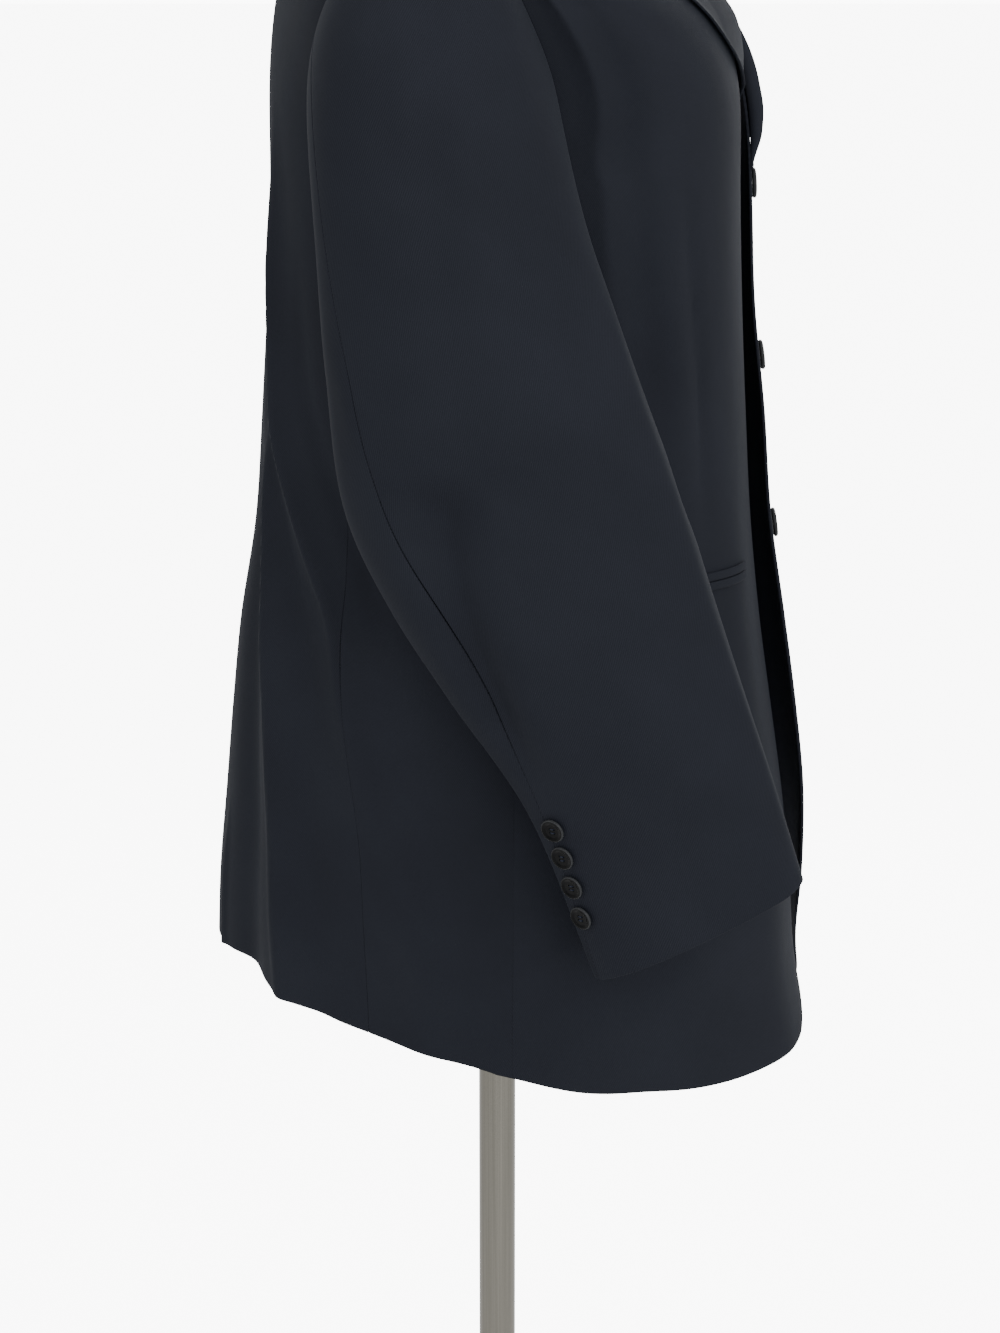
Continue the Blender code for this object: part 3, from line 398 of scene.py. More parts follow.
def worsted(name):
    """The cloth's material: melange noise and twill in the colour, twill and nap in the bump."""
    made, tree, shader = new_material(name)
    where = add(tree, "UVMap")
    where.uv_map = "cloth"

    def noise(scale, detail, rough):
        return add(tree, "TexNoise", Vector=where.outputs["UV"], Scale=scale, Detail=detail,
                   Roughness=rough).outputs["Fac"]

    steep = add(tree, "Mapping", Vector=where.outputs["UV"], Rotation=(0, 0, TWILL_TURN))
    twill = add(tree, "TexWave", Vector=steep.outputs["Vector"], Scale=wave_scale(TWILL_PITCH),
                Distortion=0.6, Detail=1, Detail_Scale=2).outputs["Fac"]
    melange, cloudy, nap = noise(2600, 2, 0.6), noise(9, 3, 0.55), noise(900, 3, 0.6)
    tone = mixed(tree, 0.22, mixed(tree, 0.45, cloudy, melange), twill)
    soft = bumped(tree, noise(26, 2, 0.5), 0.5, 0.0012)
    put(shader, Base_Color=coloured(tree, tone, (0.3, DARK_YARN), (0.72, PALE_YARN)),
        Roughness=ranged(tree, cloudy, 0.66, 0.82), Specular_IOR_Level=0.06,
        Sheen_Weight=0.012, Sheen_Roughness=0.42, Sheen_Tint=(0.72, 0.84, 1, 1),
        Normal=bumped(tree, mixed(tree, 0.5, twill, nap), 0.35, 0.00025, Normal=soft))
    return made


suiting = worsted("navy_worsted")


def spread(count, low=0, high=1, bunch=0.85):
    """Values from low to high that stand closer together towards both ends: even steps,
    mixed by the share bunch with steps of half of 1 - cos(pi u)."""
    u = np.linspace(0, 1, count)
    return low + (high - low) * (u * (1 - bunch) + bunch * (1 - np.cos(np.pi * u)) / 2)


def unit(vectors):
    """Each vector divided by its length."""
    return vectors / np.maximum(np.linalg.norm(vectors, axis=-1, keepdims=True), 1e-12)


def normals_of(surface, s, v, limits, turn, steps=(2e-4, 2e-4)):
    """Unit normals by central differences of surface(s, v), kept inside the limits."""
    low_s, high_s, low_v, high_v = limits
    ds, dv = steps
    along_s = surface(np.minimum(s + ds, high_s), v) - surface(np.maximum(s - ds, low_s), v)
    along_v = surface(s, np.minimum(v + dv, high_v)) - surface(s, np.maximum(v - dv, low_v))
    return turn * unit(np.cross(along_s, along_v))


def lengths_along(points, axis):
    """Distance along the grid's lines, counted from the middle line."""
    steps = np.diff(points, axis=axis, prepend=points.take([0], axis))
    run = np.cumsum(np.linalg.norm(steps, axis=-1), axis=axis)
    return run - np.take(run, [points.shape[axis] // 2], axis=axis)


def place_piece(name, points, faces, material, slot, node_names, uv=None):
    """A smooth mesh with its UV map, if any, the body it rides and the solids it stands for.
    A turned or moulded piece keeps its edges of over 50 degrees."""
    mesh = bpy.data.meshes.new(name)
    mesh.from_pydata(points.tolist(), [], faces)
    if uv is not None:
        layer = mesh.uv_layers.new(name="cloth" if slot == "suiting" else "face")
        layer.data.foreach_set("uv", uv[np.concatenate(faces)].astype(np.float32).ravel())
    mesh.shade_smooth()
    if slot != "suiting":
        mesh.set_sharp_from_angle(angle=math.radians(50))
    mesh.materials.append(material)
    piece = new_object(name, mesh)
    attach(piece, "root")
    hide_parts(*node_names)
    return piece


def shell(name, grids, thickness, side, node_names):
    """A piece of cloth from one or more grids of (outer points, normals) that share edges.
    Inner points are outer ones moved in by the thickness, and every free edge gets a half
    round of three strips. The mesh is mirrored for the right side."""
    outer, inner, uv, quads, count = [], [], [], [], 0
    for points, normal in grids:
        rows, columns = points.shape[:2]
        index = count + np.arange(rows * columns).reshape(rows, columns)
        quads.append(np.stack([index[:-1, :-1], index[:-1, 1:], index[1:, 1:], index[1:, :-1]],
                              -1).reshape(-1, 4))
        outer.append(points.reshape(-1, 3))
        inner.append((points - thickness * normal).reshape(-1, 3))
        uv.append(np.stack([lengths_along(points, 1), lengths_along(points, 0)], -1).reshape(-1, 2))
        count += rows * columns
    outer, inner, uv, quads = (np.concatenate(a) for a in (outer, inner, uv, quads))
    # points that two grids share become one
    _, first, same = np.unique(np.round(outer, 6), axis=0, return_index=True, return_inverse=True)
    quads = first[same.reshape(-1)][quads]
    # the faces are turned so that they point away from the inner points
    a, b, d = outer[quads[0, [0, 1, 3]]]
    if np.dot(np.cross(b - a, d - a), a - inner[quads[0, 0]]) < 0:
        quads = quads[:, ::-1]
    edges = np.concatenate([quads[:, [k, (k + 1) % 4]] for k in range(4)])
    edges = edges[edges[:, 0] != edges[:, 1]]
    # a free edge has no other edge that runs the opposite way
    free = edges[~np.isin(edges @ (count, 1), edges @ (1, count))]
    p, q = free.T
    before, after, place = np.full((3, count), -1)
    before[q], after[p] = p, q
    rim = np.unique(free)
    through = unit(outer[rim] - inner[rim])
    out = np.cross(unit(outer[after[rim]] - outer[before[rim]]), through)
    # the half round stands out by 0.45 of half the thickness, at 0.72 of it up and down
    middle = (outer[rim] + inner[rim]) / 2
    turned = [middle + thickness / 2 * (0.45 * out + 0.72 * sign * through) for sign in (1, -1)]
    place[rim] = np.arange(len(rim))
    points = np.concatenate([outer, inner, *turned])
    uv_all = np.concatenate([uv, uv, uv[rim], uv[rim]])
    own = np.arange(count)
    lines = [own, 2 * count + place, 2 * count + len(rim) + place, count + own]
    strips = [np.stack([a[q], a[p], b[p], b[q]], 1) for a, b in zip(lines, lines[1:])]
    faces = np.concatenate([quads, quads[:, ::-1] + count, *strips])
    used, faces = np.unique(faces, return_inverse=True)
    faces = faces.reshape(-1, 4)
    points, uv_all = points[used] * (side, 1, 1), uv_all[used]
    if side < 0:
        faces = faces[:, ::-1]
    piece = place_piece(name, points, faces.tolist(), suiting, "suiting", node_names, uv_all)


def panel(surface, s_values, v_values, *for_normals):
    """A grid of points of surface(s, v) and their normals."""
    v, s = np.meshgrid(v_values, s_values, indexing="ij")
    return surface(s, v), normals_of(surface, s, v, *for_normals)


# ---- fronts, side panels and backs ----
# Each forepart is cut in one with its side panel, whose dart runs down the chest; the two
# backs meet in a pressed centre seam. Seams are fine grooves between turned edges.
HEM = np.array([(0, .745), (20, .744), (40, .744), (60, .749), (75, .756), (90, .771),
                (105, .78), (122, .788), (138, .799), (152, .807), (166, .806), (180, .804)])
SIDES = ((-1, "right"), (1, "left"))    # the sign of x, and the wearer's side
OVERLAP = 0.018             # each front runs this far past the centre line
CUTAWAY, CUTAWAY_TOP, CORNER, HEM_FRONT = 0.045, 0.93, 0.028, 0.745
FRONT_WIDE, SIDE_WIDE, BACK_WIDE = 0.215, 0.11, 0.2     # along the cloth
T_BACK_HEM = 118.5          # the seam behind the side panel swings forward to the hem
SEAM = 0.0005               # each edge stops this far short of its seam, to leave a groove


def stack(x, y, z):
    """Points from x, y and z, which are spread to one shape."""
    return np.stack(np.broadcast_arrays(x, y, z), axis=-1)


def hem_height(t):
    """The hem's height at angle t."""
    return smooth_table(HEM, 1, t)


def back_seam(v):
    """The seam's angle, from that at the hem to that at the armhole by v to the power 1.5."""
    return T_BACK_HEM + (T_BACK - T_BACK_HEM) * np.clip(v, 0, 1) ** 1.5


def over_yoke(x, z, arm, t, s, q, side, front):
    """The upper body at x and z: its depth, led to that of the armhole's point, and the folds
    carried on from the yoke, level. They fade towards the shoulder seam (q 1) and, a little
    above the yoke, at the armhole (s 1)."""
    yoke = YOKE_FRONT if front else YOKE_BACK
    y = chest(x, z, yoke, front)
    y = y + (arm[1] - chest(arm[0], arm[2], yoke, front)) * s ** 3
    out_x, out_y = section_point(t, yoke)
    lift = body_folds(t, z, side) * ease((1 - q) / 0.3)
    lift = lift * (1 - ease(q / 0.12) * ease((s - 0.95) / 0.05)) / np.hypot(out_x, out_y)
    return x + out_x * lift, y + out_y * lift


def joined(lower, upper):
    """A surface of lower(s, v) up to v = 1 and of upper(s, v - 1) above it."""
    def surface(s, v):
        low, high = lower(s, np.clip(v, 0, 1)), upper(s, np.clip(v - 1, 0, 1))
        return np.where((v <= 1)[..., None], stack(*low), stack(*high))
    return surface


def front_surface(side):
    """s runs from the free edge to the side seam; v from the hem (0) to the armpit (1) and
    on to the shoulder seam (2). Below, the rings start at an edge that the cutaway draws back
    by the square of the way down, and a quarter circle rounds the corner. Above, x and z go
    in even shares from the roll line to the armhole, and y is the chest's."""
    def lower(s, v):
        near_corner = np.clip(1 - s * FRONT_WIDE / CORNER, 0, 1)
        hem = hem_height(T_SIDE * s) + CORNER * (1 - np.sqrt(1 - near_corner ** 2))
        z = hem + (YOKE_FRONT - hem) * v
        away = np.clip((CUTAWAY_TOP - z) / (CUTAWAY_TOP - HEM_FRONT), 0, 1.2)
        start = angle_of_x(-OVERLAP + CUTAWAY * away ** 2, z)
        x, y = ring(start + (T_SIDE - start) * s, z, side)
        return x, y, z

    def upper(s, q):
        start = angle_of_x(-OVERLAP, YOKE_FRONT)
        t = start + (T_SIDE - start) * s
        x_base = body(HALF_WIDTH, YOKE_FRONT) * powered(sine(t), 2 / CHEST_POWER)
        share = (x_base + OVERLAP) / (armhole(PSI_FRONT)[0] + OVERLAP)
        arm = armhole(PSI_FRONT + (90 - PSI_FRONT) * q)
        rise = sine(90 * q) ** (2 / FRONT_ROUND)
        z_roll = YOKE_FRONT + (NECK_Z - YOKE_FRONT) * rise
        x_roll = -OVERLAP + (NECK_X + OVERLAP) * rise
        x = x_roll + (arm[0] - x_roll) * share
        z = z_roll + (arm[2] - z_roll) * share
        x_out, y_out = over_yoke(x, z, arm, t, s, q, side, True)
        return x_out, y_out - left_over_right(x, z, side), z
    return joined(lower, upper)


def side_surface(side):
    """s runs back from the front's seam, v from the hem to the armhole's lower edge. Angles
    go evenly from seam to seam, and are led to the armhole's own by the cube of v."""
    def surface(s, v):
        _, y_top, z_top = armhole(PSI_FRONT + (PSI_BACK - PSI_FRONT) * s)
        t_low = T_SIDE + (back_seam(v) - T_SIDE) * s
        t_high = T_SIDE + (T_BACK - T_SIDE) * s
        t = t_low + (angle_of_y(y_top, z_top) - t_high) * np.clip(v, 0, 1) ** 3
        hem = hem_height(T_SIDE + (T_BACK_HEM - T_SIDE) * s)
        z = hem + (z_top - hem) * v
        x, y = ring(t, z, side)
        return stack(x, y, z)
    return surface


def back_surface(side):
    """s runs from the centre back to the side panel's seam, v from hem to shoulder seam:
    rings up to the armhole (1), and above it heights that rise by a power of a sine and are
    led to the armhole's own by the square of s."""
    def lower(s, v):
        hem = hem_height(180 + (T_BACK_HEM - 180) * s)
        z = hem + (YOKE_BACK - hem) * v
        x, y = ring(180 + (back_seam(v) - 180) * s, z, side)
        return x, y, z

    def upper(s, q):
        t = 180 + (T_BACK - 180) * s
        x_base = body(HALF_WIDTH, YOKE_BACK) * powered(sine(t), 2 / CHEST_POWER)
        arm = armhole(PSI_BACK + (450 - PSI_BACK) * q)
        x = arm[0] * x_base / armhole(PSI_BACK)[0]
        rise = sine(90 * q) ** (2 / BACK_ROUND)
        z = YOKE_BACK + (np.minimum(shoulder_height(x), NECK_Z) - YOKE_BACK) * rise
        z_end = YOKE_BACK + (shoulder_height(arm[0]) - YOKE_BACK) * rise
        z = z + (arm[2] - z_end) * s ** 2
        return *over_yoke(x, z, arm, t, s, q, side, False), z
    return joined(lower, upper)


def softened(surface, reach=0.05):
    """The mean of five neighbours along v, weighted 1-4-6-4-1, close to the yoke where the
    surface's two parts meet. It fades out at the side seam, whose points are shared."""
    def soft(s, v):
        step = reach / 2 * (1 - ease(np.abs(v - 1) / (3 * reach))) * (1 - s ** 8)
        return sum(share * surface(s, v + k * step)
                   for k, share in zip((-2, -1, 0, 1, 2), (1, 4, 6, 4, 1))) / 16
    return soft


for side, word in SIDES:
    body_limits = (-1, 2, -1, 1.999)
    low_rows, high_rows = spread(150, bunch=0.5), 1 + spread(70, bunch=0.6)[1:]
    high_rows[-1] -= 0.003
    all_rows = np.concatenate([low_rows, high_rows])
    front_grid = panel(softened(front_surface(side)), spread(86), all_rows, body_limits, 1)
    side_grid = panel(side_surface(side), spread(44, high=1 - SEAM / SIDE_WIDE), low_rows,
                      (-1, 2, -1, 1), 1)
    shell(f"{word}_forepart", [front_grid, side_grid], CLOTH, side,
          [f"{word}_front", f"{word}_side_panel"])
    back_grid = panel(softened(back_surface(side)),
                      spread(80, SEAM / BACK_WIDE, 1 - SEAM / BACK_WIDE), all_rows,
                      body_limits, -1)
    shell(f"{word}_back_panel", [back_grid], CLOTH, side, [f"{word}_back"])


# ---- sleeves ----
# A two-piece sleeve: its head is eased into the armhole, and it bends forward at the elbow.
# The wide top sleeve lies outside; the hind seam wanders in from the rear edge at the elbow
# and comes back to it at the cuff buttons.
SLEEVE = np.array([
    # share of the way down, rear y, rear z, front y, front z, middle x, half thickness in x
    (0, .104, 1.305, -.058, 1.29, .243, .047),
    (.2, .099, 1.225, -.084, 1.218, .242, .048),
    (.4, .088, 1.14, -.111, 1.146, .24, .046),
    (.55, .063, 1.085, -.13, 1.088, .239, .044),
    (.7, .029, 1.03, -.148, 1.034, .237, .04),
    (.85, -.02, .955, -.167, .978, .234, .035),
    (1, -.06, .852, -.187, .915, .231, .031),
])
CAP = 0.3                   # share of the rows that makes the sleeve's head
SLEEVE_WIDE = 0.16          # of each sleeve's piece, along the cloth
FORE_SEAM = 205
HIND_SEAM = np.array([(0, 20), (.3, 25), (.45, 37), (.6, 46), (.77, 46), (.87, 34), (1, 18)])
# as the body's folds, but along lines of (angle psi round the sleeve, share v down it),
# where psi is 0 at the rear edge, 90 outside and 180 at the front
SLEEVE_FOLDS = (
    (((71, .52), (61, .62), (55, .7), (47, .8), (36, .9)), -10.5, 12, .05, .12),
    (((86, .53), (79, .64), (69, .76), (54, .88)), 2.6, 10, .06, .12),
    (((28, .4), (38, .5), (56, .56)), 1.8, 9, .08, .08),
    (((60, .48), (80, .5), (100, .54)), .9, 10, .05, .05),
    (((66, .06), (68, .16), (70, .3)), -1.4, 7, .06, .16),
    (((88, .04), (88, .15), (85, .3), (82, .46)), -1.7, 7, .06, .22),
    (((118, .04), (116, .13), (107, .3), (104, .52)), -1.5, 9, .06, .26),
    (((102, .06), (101, .18), (96, .34)), 1.1, 6, .06, .18),
    (((140, .1), (136, .3), (132, .46)), .9, 9, .08, .2),
    (((168, .28), (160, .45), (158, .65), (163, .86), (166, .99)), 1.6, 9, .1, .2),
    (((172, .52), (150, .56), (128, .585)), -.9, 9, .05, .05),
    (((196, .5), (186, .56), (178, .62)), -2, 12, .05, .06),
    (((110, .8), (96, .9), (92, 1.08)), -.8, 10, .1, .05),
    (((136, .84), (140, .92), (142, 1.08)), .7, 9, .08, .05),
    (((350, .36), (336, .52), (320, .6)), -2.4, 14, .06, .1),
    (((262, .3), (270, .5), (280, .7)), -2, 16, .08, .16),
)


def tube(psi, down, v):
    """A section between the sleeve's rear and front edges, by the cosine and the sine of psi
    to the power 0.88, with the folds laid on."""
    at = [smooth_table(SLEEVE, column, down) for column in range(1, 7)]
    middle_y, half_y = (at[0] + at[2]) / 2, (at[0] - at[2]) / 2
    middle_z, half_z = (at[1] + at[3]) / 2, (at[1] - at[3]) / 2
    across, out = powered(cosine(psi), 0.88), powered(sine(psi), 0.88)
    folds = fold_heights(SLEEVE_FOLDS, np.mod(psi, 360), v)
    return stack(at[4] + (at[5] + folds) * out, middle_y + (half_y + 0.8 * folds) * across,
                 middle_z + half_z * across)


def sleeve_surface(under):
    """The top sleeve (under 0) from its front seam round the outside, or the under sleeve
    (under 1) from the hind seam round by the body. v runs down from the armhole: first a
    cubic curve from the armhole's ellipse to the tube, and then the tube."""
    def surface(s, v):
        hind = smooth_table(HIND_SEAM, 1, v)
        psi = (hind + 360 + (FORE_SEAM - hind - 360) * s if under
               else FORE_SEAM + (hind - FORE_SEAM) * s)
        x, y, z = armhole(psi)
        over = np.clip(sine(psi), 0, 1)
        start = stack(x + 0.0015 - 0.0022 * (1 - over ** 2), y, z)
        end, below = tube(psi, 0, v), tube(psi, 0.02, v)
        reach = np.linalg.norm(end - start, axis=-1, keepdims=True)
        along = cosine(psi) * np.where(cosine(psi) < 0, 0.06, 0.18)
        leave = stack(0.95 + 0 * x, along, 0.2 * sine(psi) - 0.55 * over)
        u = np.clip(v / CAP, 0, 1)[..., None]
        a = start + (0.34 - 0.06 * over)[..., None] * reach * leave
        b = end + 0.42 * reach * unit(end - below)
        head = ((1 - u) ** 3 * start + 3 * (1 - u) ** 2 * u * a
                + 3 * (1 - u) * u ** 2 * b + u ** 3 * end)
        # the seam allowance lifts the head a little just past the armhole
        roll = 0.0016 * np.exp(-((v - 0.03) / 0.016) ** 2) * over
        head = head + roll[..., None] * np.array((0.5, 0, 0.8))
        return np.where((v <= CAP)[..., None], head, tube(psi, (v - CAP) / (1 - CAP), v))
    return surface


for side, word in SIDES:
    sleeve_rows = np.concatenate([spread(56, 0, CAP, 0.4), spread(150, CAP, 1, 0.5)[1:]])
    for part, under, count in (("top_sleeve", 0, 100), ("under_sleeve", 1, 76)):
        columns = spread(count, SEAM / SLEEVE_WIDE, 1 - SEAM / SLEEVE_WIDE, 0.7)
        grid = panel(sleeve_surface(under), columns, sleeve_rows, (-1, 2, 0, 1), -1)
        shell(f"{word}_{part}_cloth", [grid], CLOTH, side, [f"{word}_{part}"])


# ---- lapels ----
# Each front's facing turned back at the roll line: a soft roll, then a flat notched lapel
# whose edge bows out and lies on the chest. The left one starts lower, over the right.
FACING = 0.0016             # thickness of a lapel or of the collar
NOTCH, LAPEL_POINT, LAPEL_TOP_Z, LAPEL_BELLY = (0.088, 1.457), (0.113, 1.441), 1.478, 0.014
ROLL_SHARE, ROLL_FROM, ROLL_TURN = 0.3, -75, 165    # the roll's share of s, and its angles


def lapel_surface(side):
    """s curls round the roll line (to ROLL_SHARE), then crosses the lapel to
    its edge, which bows by a sine; v climbs from the break to the gorge seam."""
    break_z = YOKE_FRONT + (0.004 if side > 0 else 0.047)

    def roll_line(z):
        """x of the straight line from the overlap's edge to the neck."""
        return -OVERLAP + (NECK_X + OVERLAP) * (z - YOKE_FRONT) / (NECK_Z - YOKE_FRONT)

    def surface(s, v):
        z_roll = break_z + (LAPEL_TOP_Z - break_z) * v
        x_roll = roll_line(z_roll)
        x_edge = x_roll + 0.006 + (LAPEL_POINT[0] - roll_line(LAPEL_TOP_Z) - 0.006) * v
        x_edge = x_edge + LAPEL_BELLY * np.sin(np.pi * v)
        z_edge = break_z + 0.002 + (LAPEL_POINT[1] - break_z - 0.002) * v
        grow = ease((z_roll - (1.38 if side < 0 else 1.322)) / 0.05)
        spring = ease(v / 0.15)             # the break lies flat, and the roll springs above it
        radius = 0.0006 + (0.0016 if side < 0 else 0.0018) * spring + 0.0028 * grow
        beta = ROLL_FROM + ROLL_TURN * np.clip(s / ROLL_SHARE, 0, 1)
        across = np.clip((s - ROLL_SHARE) / (1 - ROLL_SHARE), 0, 1)
        lift = 0.0006 - 0.0011 * (1 - ease(v / 0.3)) + radius * (1 + sine(beta))
        flat_lift = 0.0019 + 0.0013 * spring + 0.0012 * spring * np.exp(-((across - 1) / 0.06) ** 2)
        lift = np.where(s > ROLL_SHARE, flat_lift + (lift - flat_lift) * (1 - across) ** 1.5, lift)
        x = x_roll + np.where(s > ROLL_SHARE, (x_edge - x_roll) * across, -radius * cosine(beta))
        z = z_roll + (z_edge - z_roll) * across
        y = chest(x, z, YOKE_FRONT, True) - left_over_right(x, z, side)
        return stack(x, y - lift, z)
    return surface


for side, word in SIDES:
    across_rows = np.concatenate([np.linspace(0, ROLL_SHARE, 18),
                                  spread(40, ROLL_SHARE, 1, 0.6)[1:]])
    grid = panel(lapel_surface(side), across_rows, spread(72, 0, 1, 0.6), (0, 1, 0, 1), 1)
    shell(f"{word}_lapel_cloth", [grid], FACING, side, [f"{word}_lapel"])


# ---- collar ----
# Cut in one round the nape: a stand sewn to the neckline, a fold, and a fall that lies on
# back and shoulders and ends in front at the gorge seam and the notch.
FOLD_AT, NOTCH_AT = 0.4, 0.62       # the fold's share of s, and the notch's share of the fall
COLLAR_U = (0, 0.2, 0.4, 0.6, 0.8, 1)
COLLAR_FOLD = ((.0475, -.118, 1.4835), (.058, -.08, 1.516), (.066, -.032, 1.545),
               (.068, .02, 1.563), (.052, .07, 1.571), (0, .094, 1.573))
COLLAR_SEAM = ((.05, -.0965, 1.4825), (.0615, -.0615, 1.51), (.0705, -.0185, 1.5302),
               (.0745, .026, 1.5395), (.056, .08, 1.54), (0, .102, 1.5395))
COLLAR_EDGE = ((.11, -.102, 1.484), (.119, -.068, 1.502), (.125, -.026, 1.514),
               (.122, .036, 1.528), (.085, .106, 1.522), (0, .138, 1.515))


def collar_line(points, u):
    """One of the collar's three lines, read at share u of the way from front to nape."""
    rows = np.column_stack([COLLAR_U, np.array(points)])
    rows = np.vstack([rows, (2 - rows[-2, 0], -rows[-2, 1], rows[-2, 2], rows[-2, 3])])
    return [smooth_table(rows, column, u) for column in (1, 2, 3)]


def lift_off_body(x, y, z, clear, pull):
    """Moves a point straight out of the upper body until it is this far clear of it, or
    draws it down to that distance, by the share given in pull."""
    front = y < RIDGE_Y
    base, power = np.where(front, YOKE_FRONT, YOKE_BACK), np.where(front, FRONT_ROUND, BACK_ROUND)
    width = body(HALF_WIDTH, base) + CHEST_SPREAD
    depth = np.where(front, body(FRONT, base), body(BACK, base))
    level = rounded(depth, x / width)
    dy, dz, height = y - RIDGE_Y, z - base, shoulder_height(x) - base
    size = ((np.abs(dy) / level) ** power + (np.abs(dz) / height) ** power) ** (1 / power)
    length = np.hypot(dy, dz)
    scale = (length / size + clear) / length
    scale = np.where(scale > 1, scale, 1 + (scale - 1) * pull)
    return RIDGE_Y + dy * scale, base + dz * scale


def collar_surface(s, v):
    """s runs from the stand's seam over the fold (FOLD_AT) to the fall's edge; v runs from the
    right front end (-1) round the nape (0) to the left front end (1)."""
    u = 1 - np.abs(v)
    fold, seam, edge = (collar_line(line, u) for line in (COLLAR_FOLD, COLLAR_SEAM, COLLAR_EDGE))
    up, down = np.clip(s / FOLD_AT, 0, 1), np.clip((s - FOLD_AT) / (1 - FOLD_AT), 0, 1)
    stand = [a + (b - a) * up ** 0.8 for a, b in zip(seam, fold)]
    fall = [a + (b - a) * down for a, b in zip(fold, edge)]
    end = ease(1 - u / 0.25)
    to_notch = np.clip(down / NOTCH_AT, 0, 1)
    past = np.clip((down - NOTCH_AT) / (1 - NOTCH_AT), 0, 1)
    for axis, corner in ((0, NOTCH[0]), (2, NOTCH[1])):
        first, last = COLLAR_FOLD[0][axis], COLLAR_EDGE[0][axis]
        bent = first + (corner - first) * to_notch + (last - corner) * past
        fall[axis] = fall[axis] + (bent - first - (last - first) * down) * end
    fall[1], fall[2] = lift_off_body(*fall, 0.0046 + 0.004 * np.sin(np.pi * down), ease(down))
    x, y, z = (np.where(s > FOLD_AT, b, a) for a, b in zip(stand, fall))
    crest = 0.0022 * np.exp(-((s - FOLD_AT) / 0.07) ** 2)
    return stack(x * np.where(v < 0, -1, 1), y, z + crest)


around_neck = np.concatenate([np.linspace(-1, -0.7, 34), np.linspace(-0.7, 0.7, 122)[1:],
                              np.linspace(0.7, 1, 34)[1:]])
over_fold = np.concatenate([np.linspace(0, 0.3, 12), np.linspace(0.3, 0.5, 14)[1:],
                            np.linspace(0.5, 1, 26)[1:]])
grid = panel(collar_surface, over_fold, around_neck, (0, 1, -1, 1), -1, (0.02, 0.01))
shell("collar_cloth", [grid], FACING, 1, ["collar"])


# ---- pockets ----
# A straight jetted pocket on each forepart: two narrow welts of the same cloth, pressed
# flat, lie one above the other along the slit.
POCKET_FRONT, POCKET_BACK = 0.32, 0.88      # where it starts and ends, as shares of the front
JET_CLOTH, JET_HEIGHT, JET_LIFT = 0.0009, 0.0054, 0.0012


def jet_surface(side, lower_edge):
    """A strip on the front's cloth, s running back and v up. Its crown is the square root of
    one less the fourth power of 2v - 1, so that both long edges are rolled over."""
    cloth_below = front_surface(side)

    def surface(s, v):
        z = lower_edge + JET_HEIGHT * v - 0.002 * s
        row = (z - HEM_FRONT - 0.004) / (YOKE_FRONT - HEM_FRONT - 0.004)
        column = POCKET_FRONT + (POCKET_BACK - POCKET_FRONT) * s
        normal = normals_of(cloth_below, column, row, (-1, 2, -1, 3), 1)
        crown = np.sqrt(np.clip(1 - (2 * v - 1) ** 4, 0, 1))
        return cloth_below(column, row) + (JET_LIFT + 0.0006 * crown)[..., None] * normal
    return surface


for side, word in SIDES:
    for part, low in (("upper_jet", 1.0796), ("lower_jet", 1.0736)):
        grid = panel(jet_surface(side, low), spread(90), spread(9, bunch=0.9), (0, 1, 0, 1), 1)
        shell(f"{word}_{part}_cloth", [grid], JET_CLOTH, side,
              [f"{word}_pocket_{part}"])


# ---- buttons ----
# Turned from dark horn: a rounded rim round a dished face with four holes, sewn on with
# navy thread in two bars. Three close the fronts and four trim each cuff.
FRONT_BUTTON, CUFF_BUTTON = 0.01, 0.0077        # radii
FRONT_LIFT, CUFF_LIFT = 0.0008, 0.0009          # how far they stand off the cloth
BUTTON_HEIGHTS = (1.318, 1.203, 1.088)
CUFF_DOWN, CUFF_STEP = 0.856, 0.0285            # down the tube: the first one, and each next
CUFF_PSI, CUFF_TURN = 36, -2.5                  # round the sleeve, likewise
HOLE_PLACE, HOLE_SIZE, THREAD_WIDTH = 0.17, 0.085, 0.055    # in button radii
# where the painted highlight on the button's rim begins
RIM_START = 0.9             # in button radii
BUTTON_PROFILE = np.array([
    (.4, 0), (.84, 0), (.93, .02), (.985, .07), (1, .13), (.985, .2),
    (.95, .25), (.89, .278), (.82, .28), (.75, .258), (.68, .22), (.62, .198),
    *[(.58 - .03 * k, .186 - .0006 * k) for k in range(19)], (.02, .175)])

horn, horn_tree, horn_shader = new_material("dark_horn")
streaks = add(horn_tree, "TexNoise", Scale=240, Detail=4, Distortion=1.5,
              Vector=add(horn_tree, "TexCoord").outputs["Object"]).outputs["Fac"]
face_map = add(horn_tree, "UVMap")
face_map.uv_map = "face"
face_axes = add(horn_tree, "SeparateXYZ", Vector=face_map.outputs["UV"])
face_x, face_y = face_axes.outputs["X"], face_axes.outputs["Y"]


horn_sum = functools.partial(calculated, horn_tree)
horn_mix = functools.partial(mixed, horn_tree, kind="RGBA")
# thread shows where |x| is under the hole's place + 0.05 and | |y| - hole place | is under
# the thread's width; the rim gets a paler colour, a painted highlight, where x squared + y squared
# is over RIM_START squared
off_line = horn_sum("ABSOLUTE", horn_sum("SUBTRACT", horn_sum("ABSOLUTE", face_y), HOLE_PLACE))
in_bar = horn_sum("MULTIPLY", horn_sum("LESS_THAN", off_line, THREAD_WIDTH),
                  horn_sum("LESS_THAN", horn_sum("ABSOLUTE", face_x), HOLE_PLACE + 0.05))
from_middle = horn_sum("ADD", *(horn_sum("MULTIPLY", axis, axis) for axis in (face_x, face_y)))
painted_rim_highlight = horn_sum("GREATER_THAN", from_middle, RIM_START ** 2)
dark_horn = coloured(horn_tree, streaks, (0.35, (0.0016, 0.0017, 0.002)),
                     (0.75, (0.0042, 0.0041, 0.0042)))
sewn_horn = horn_mix(in_bar, dark_horn, (0.012, 0.015, 0.026, 1))
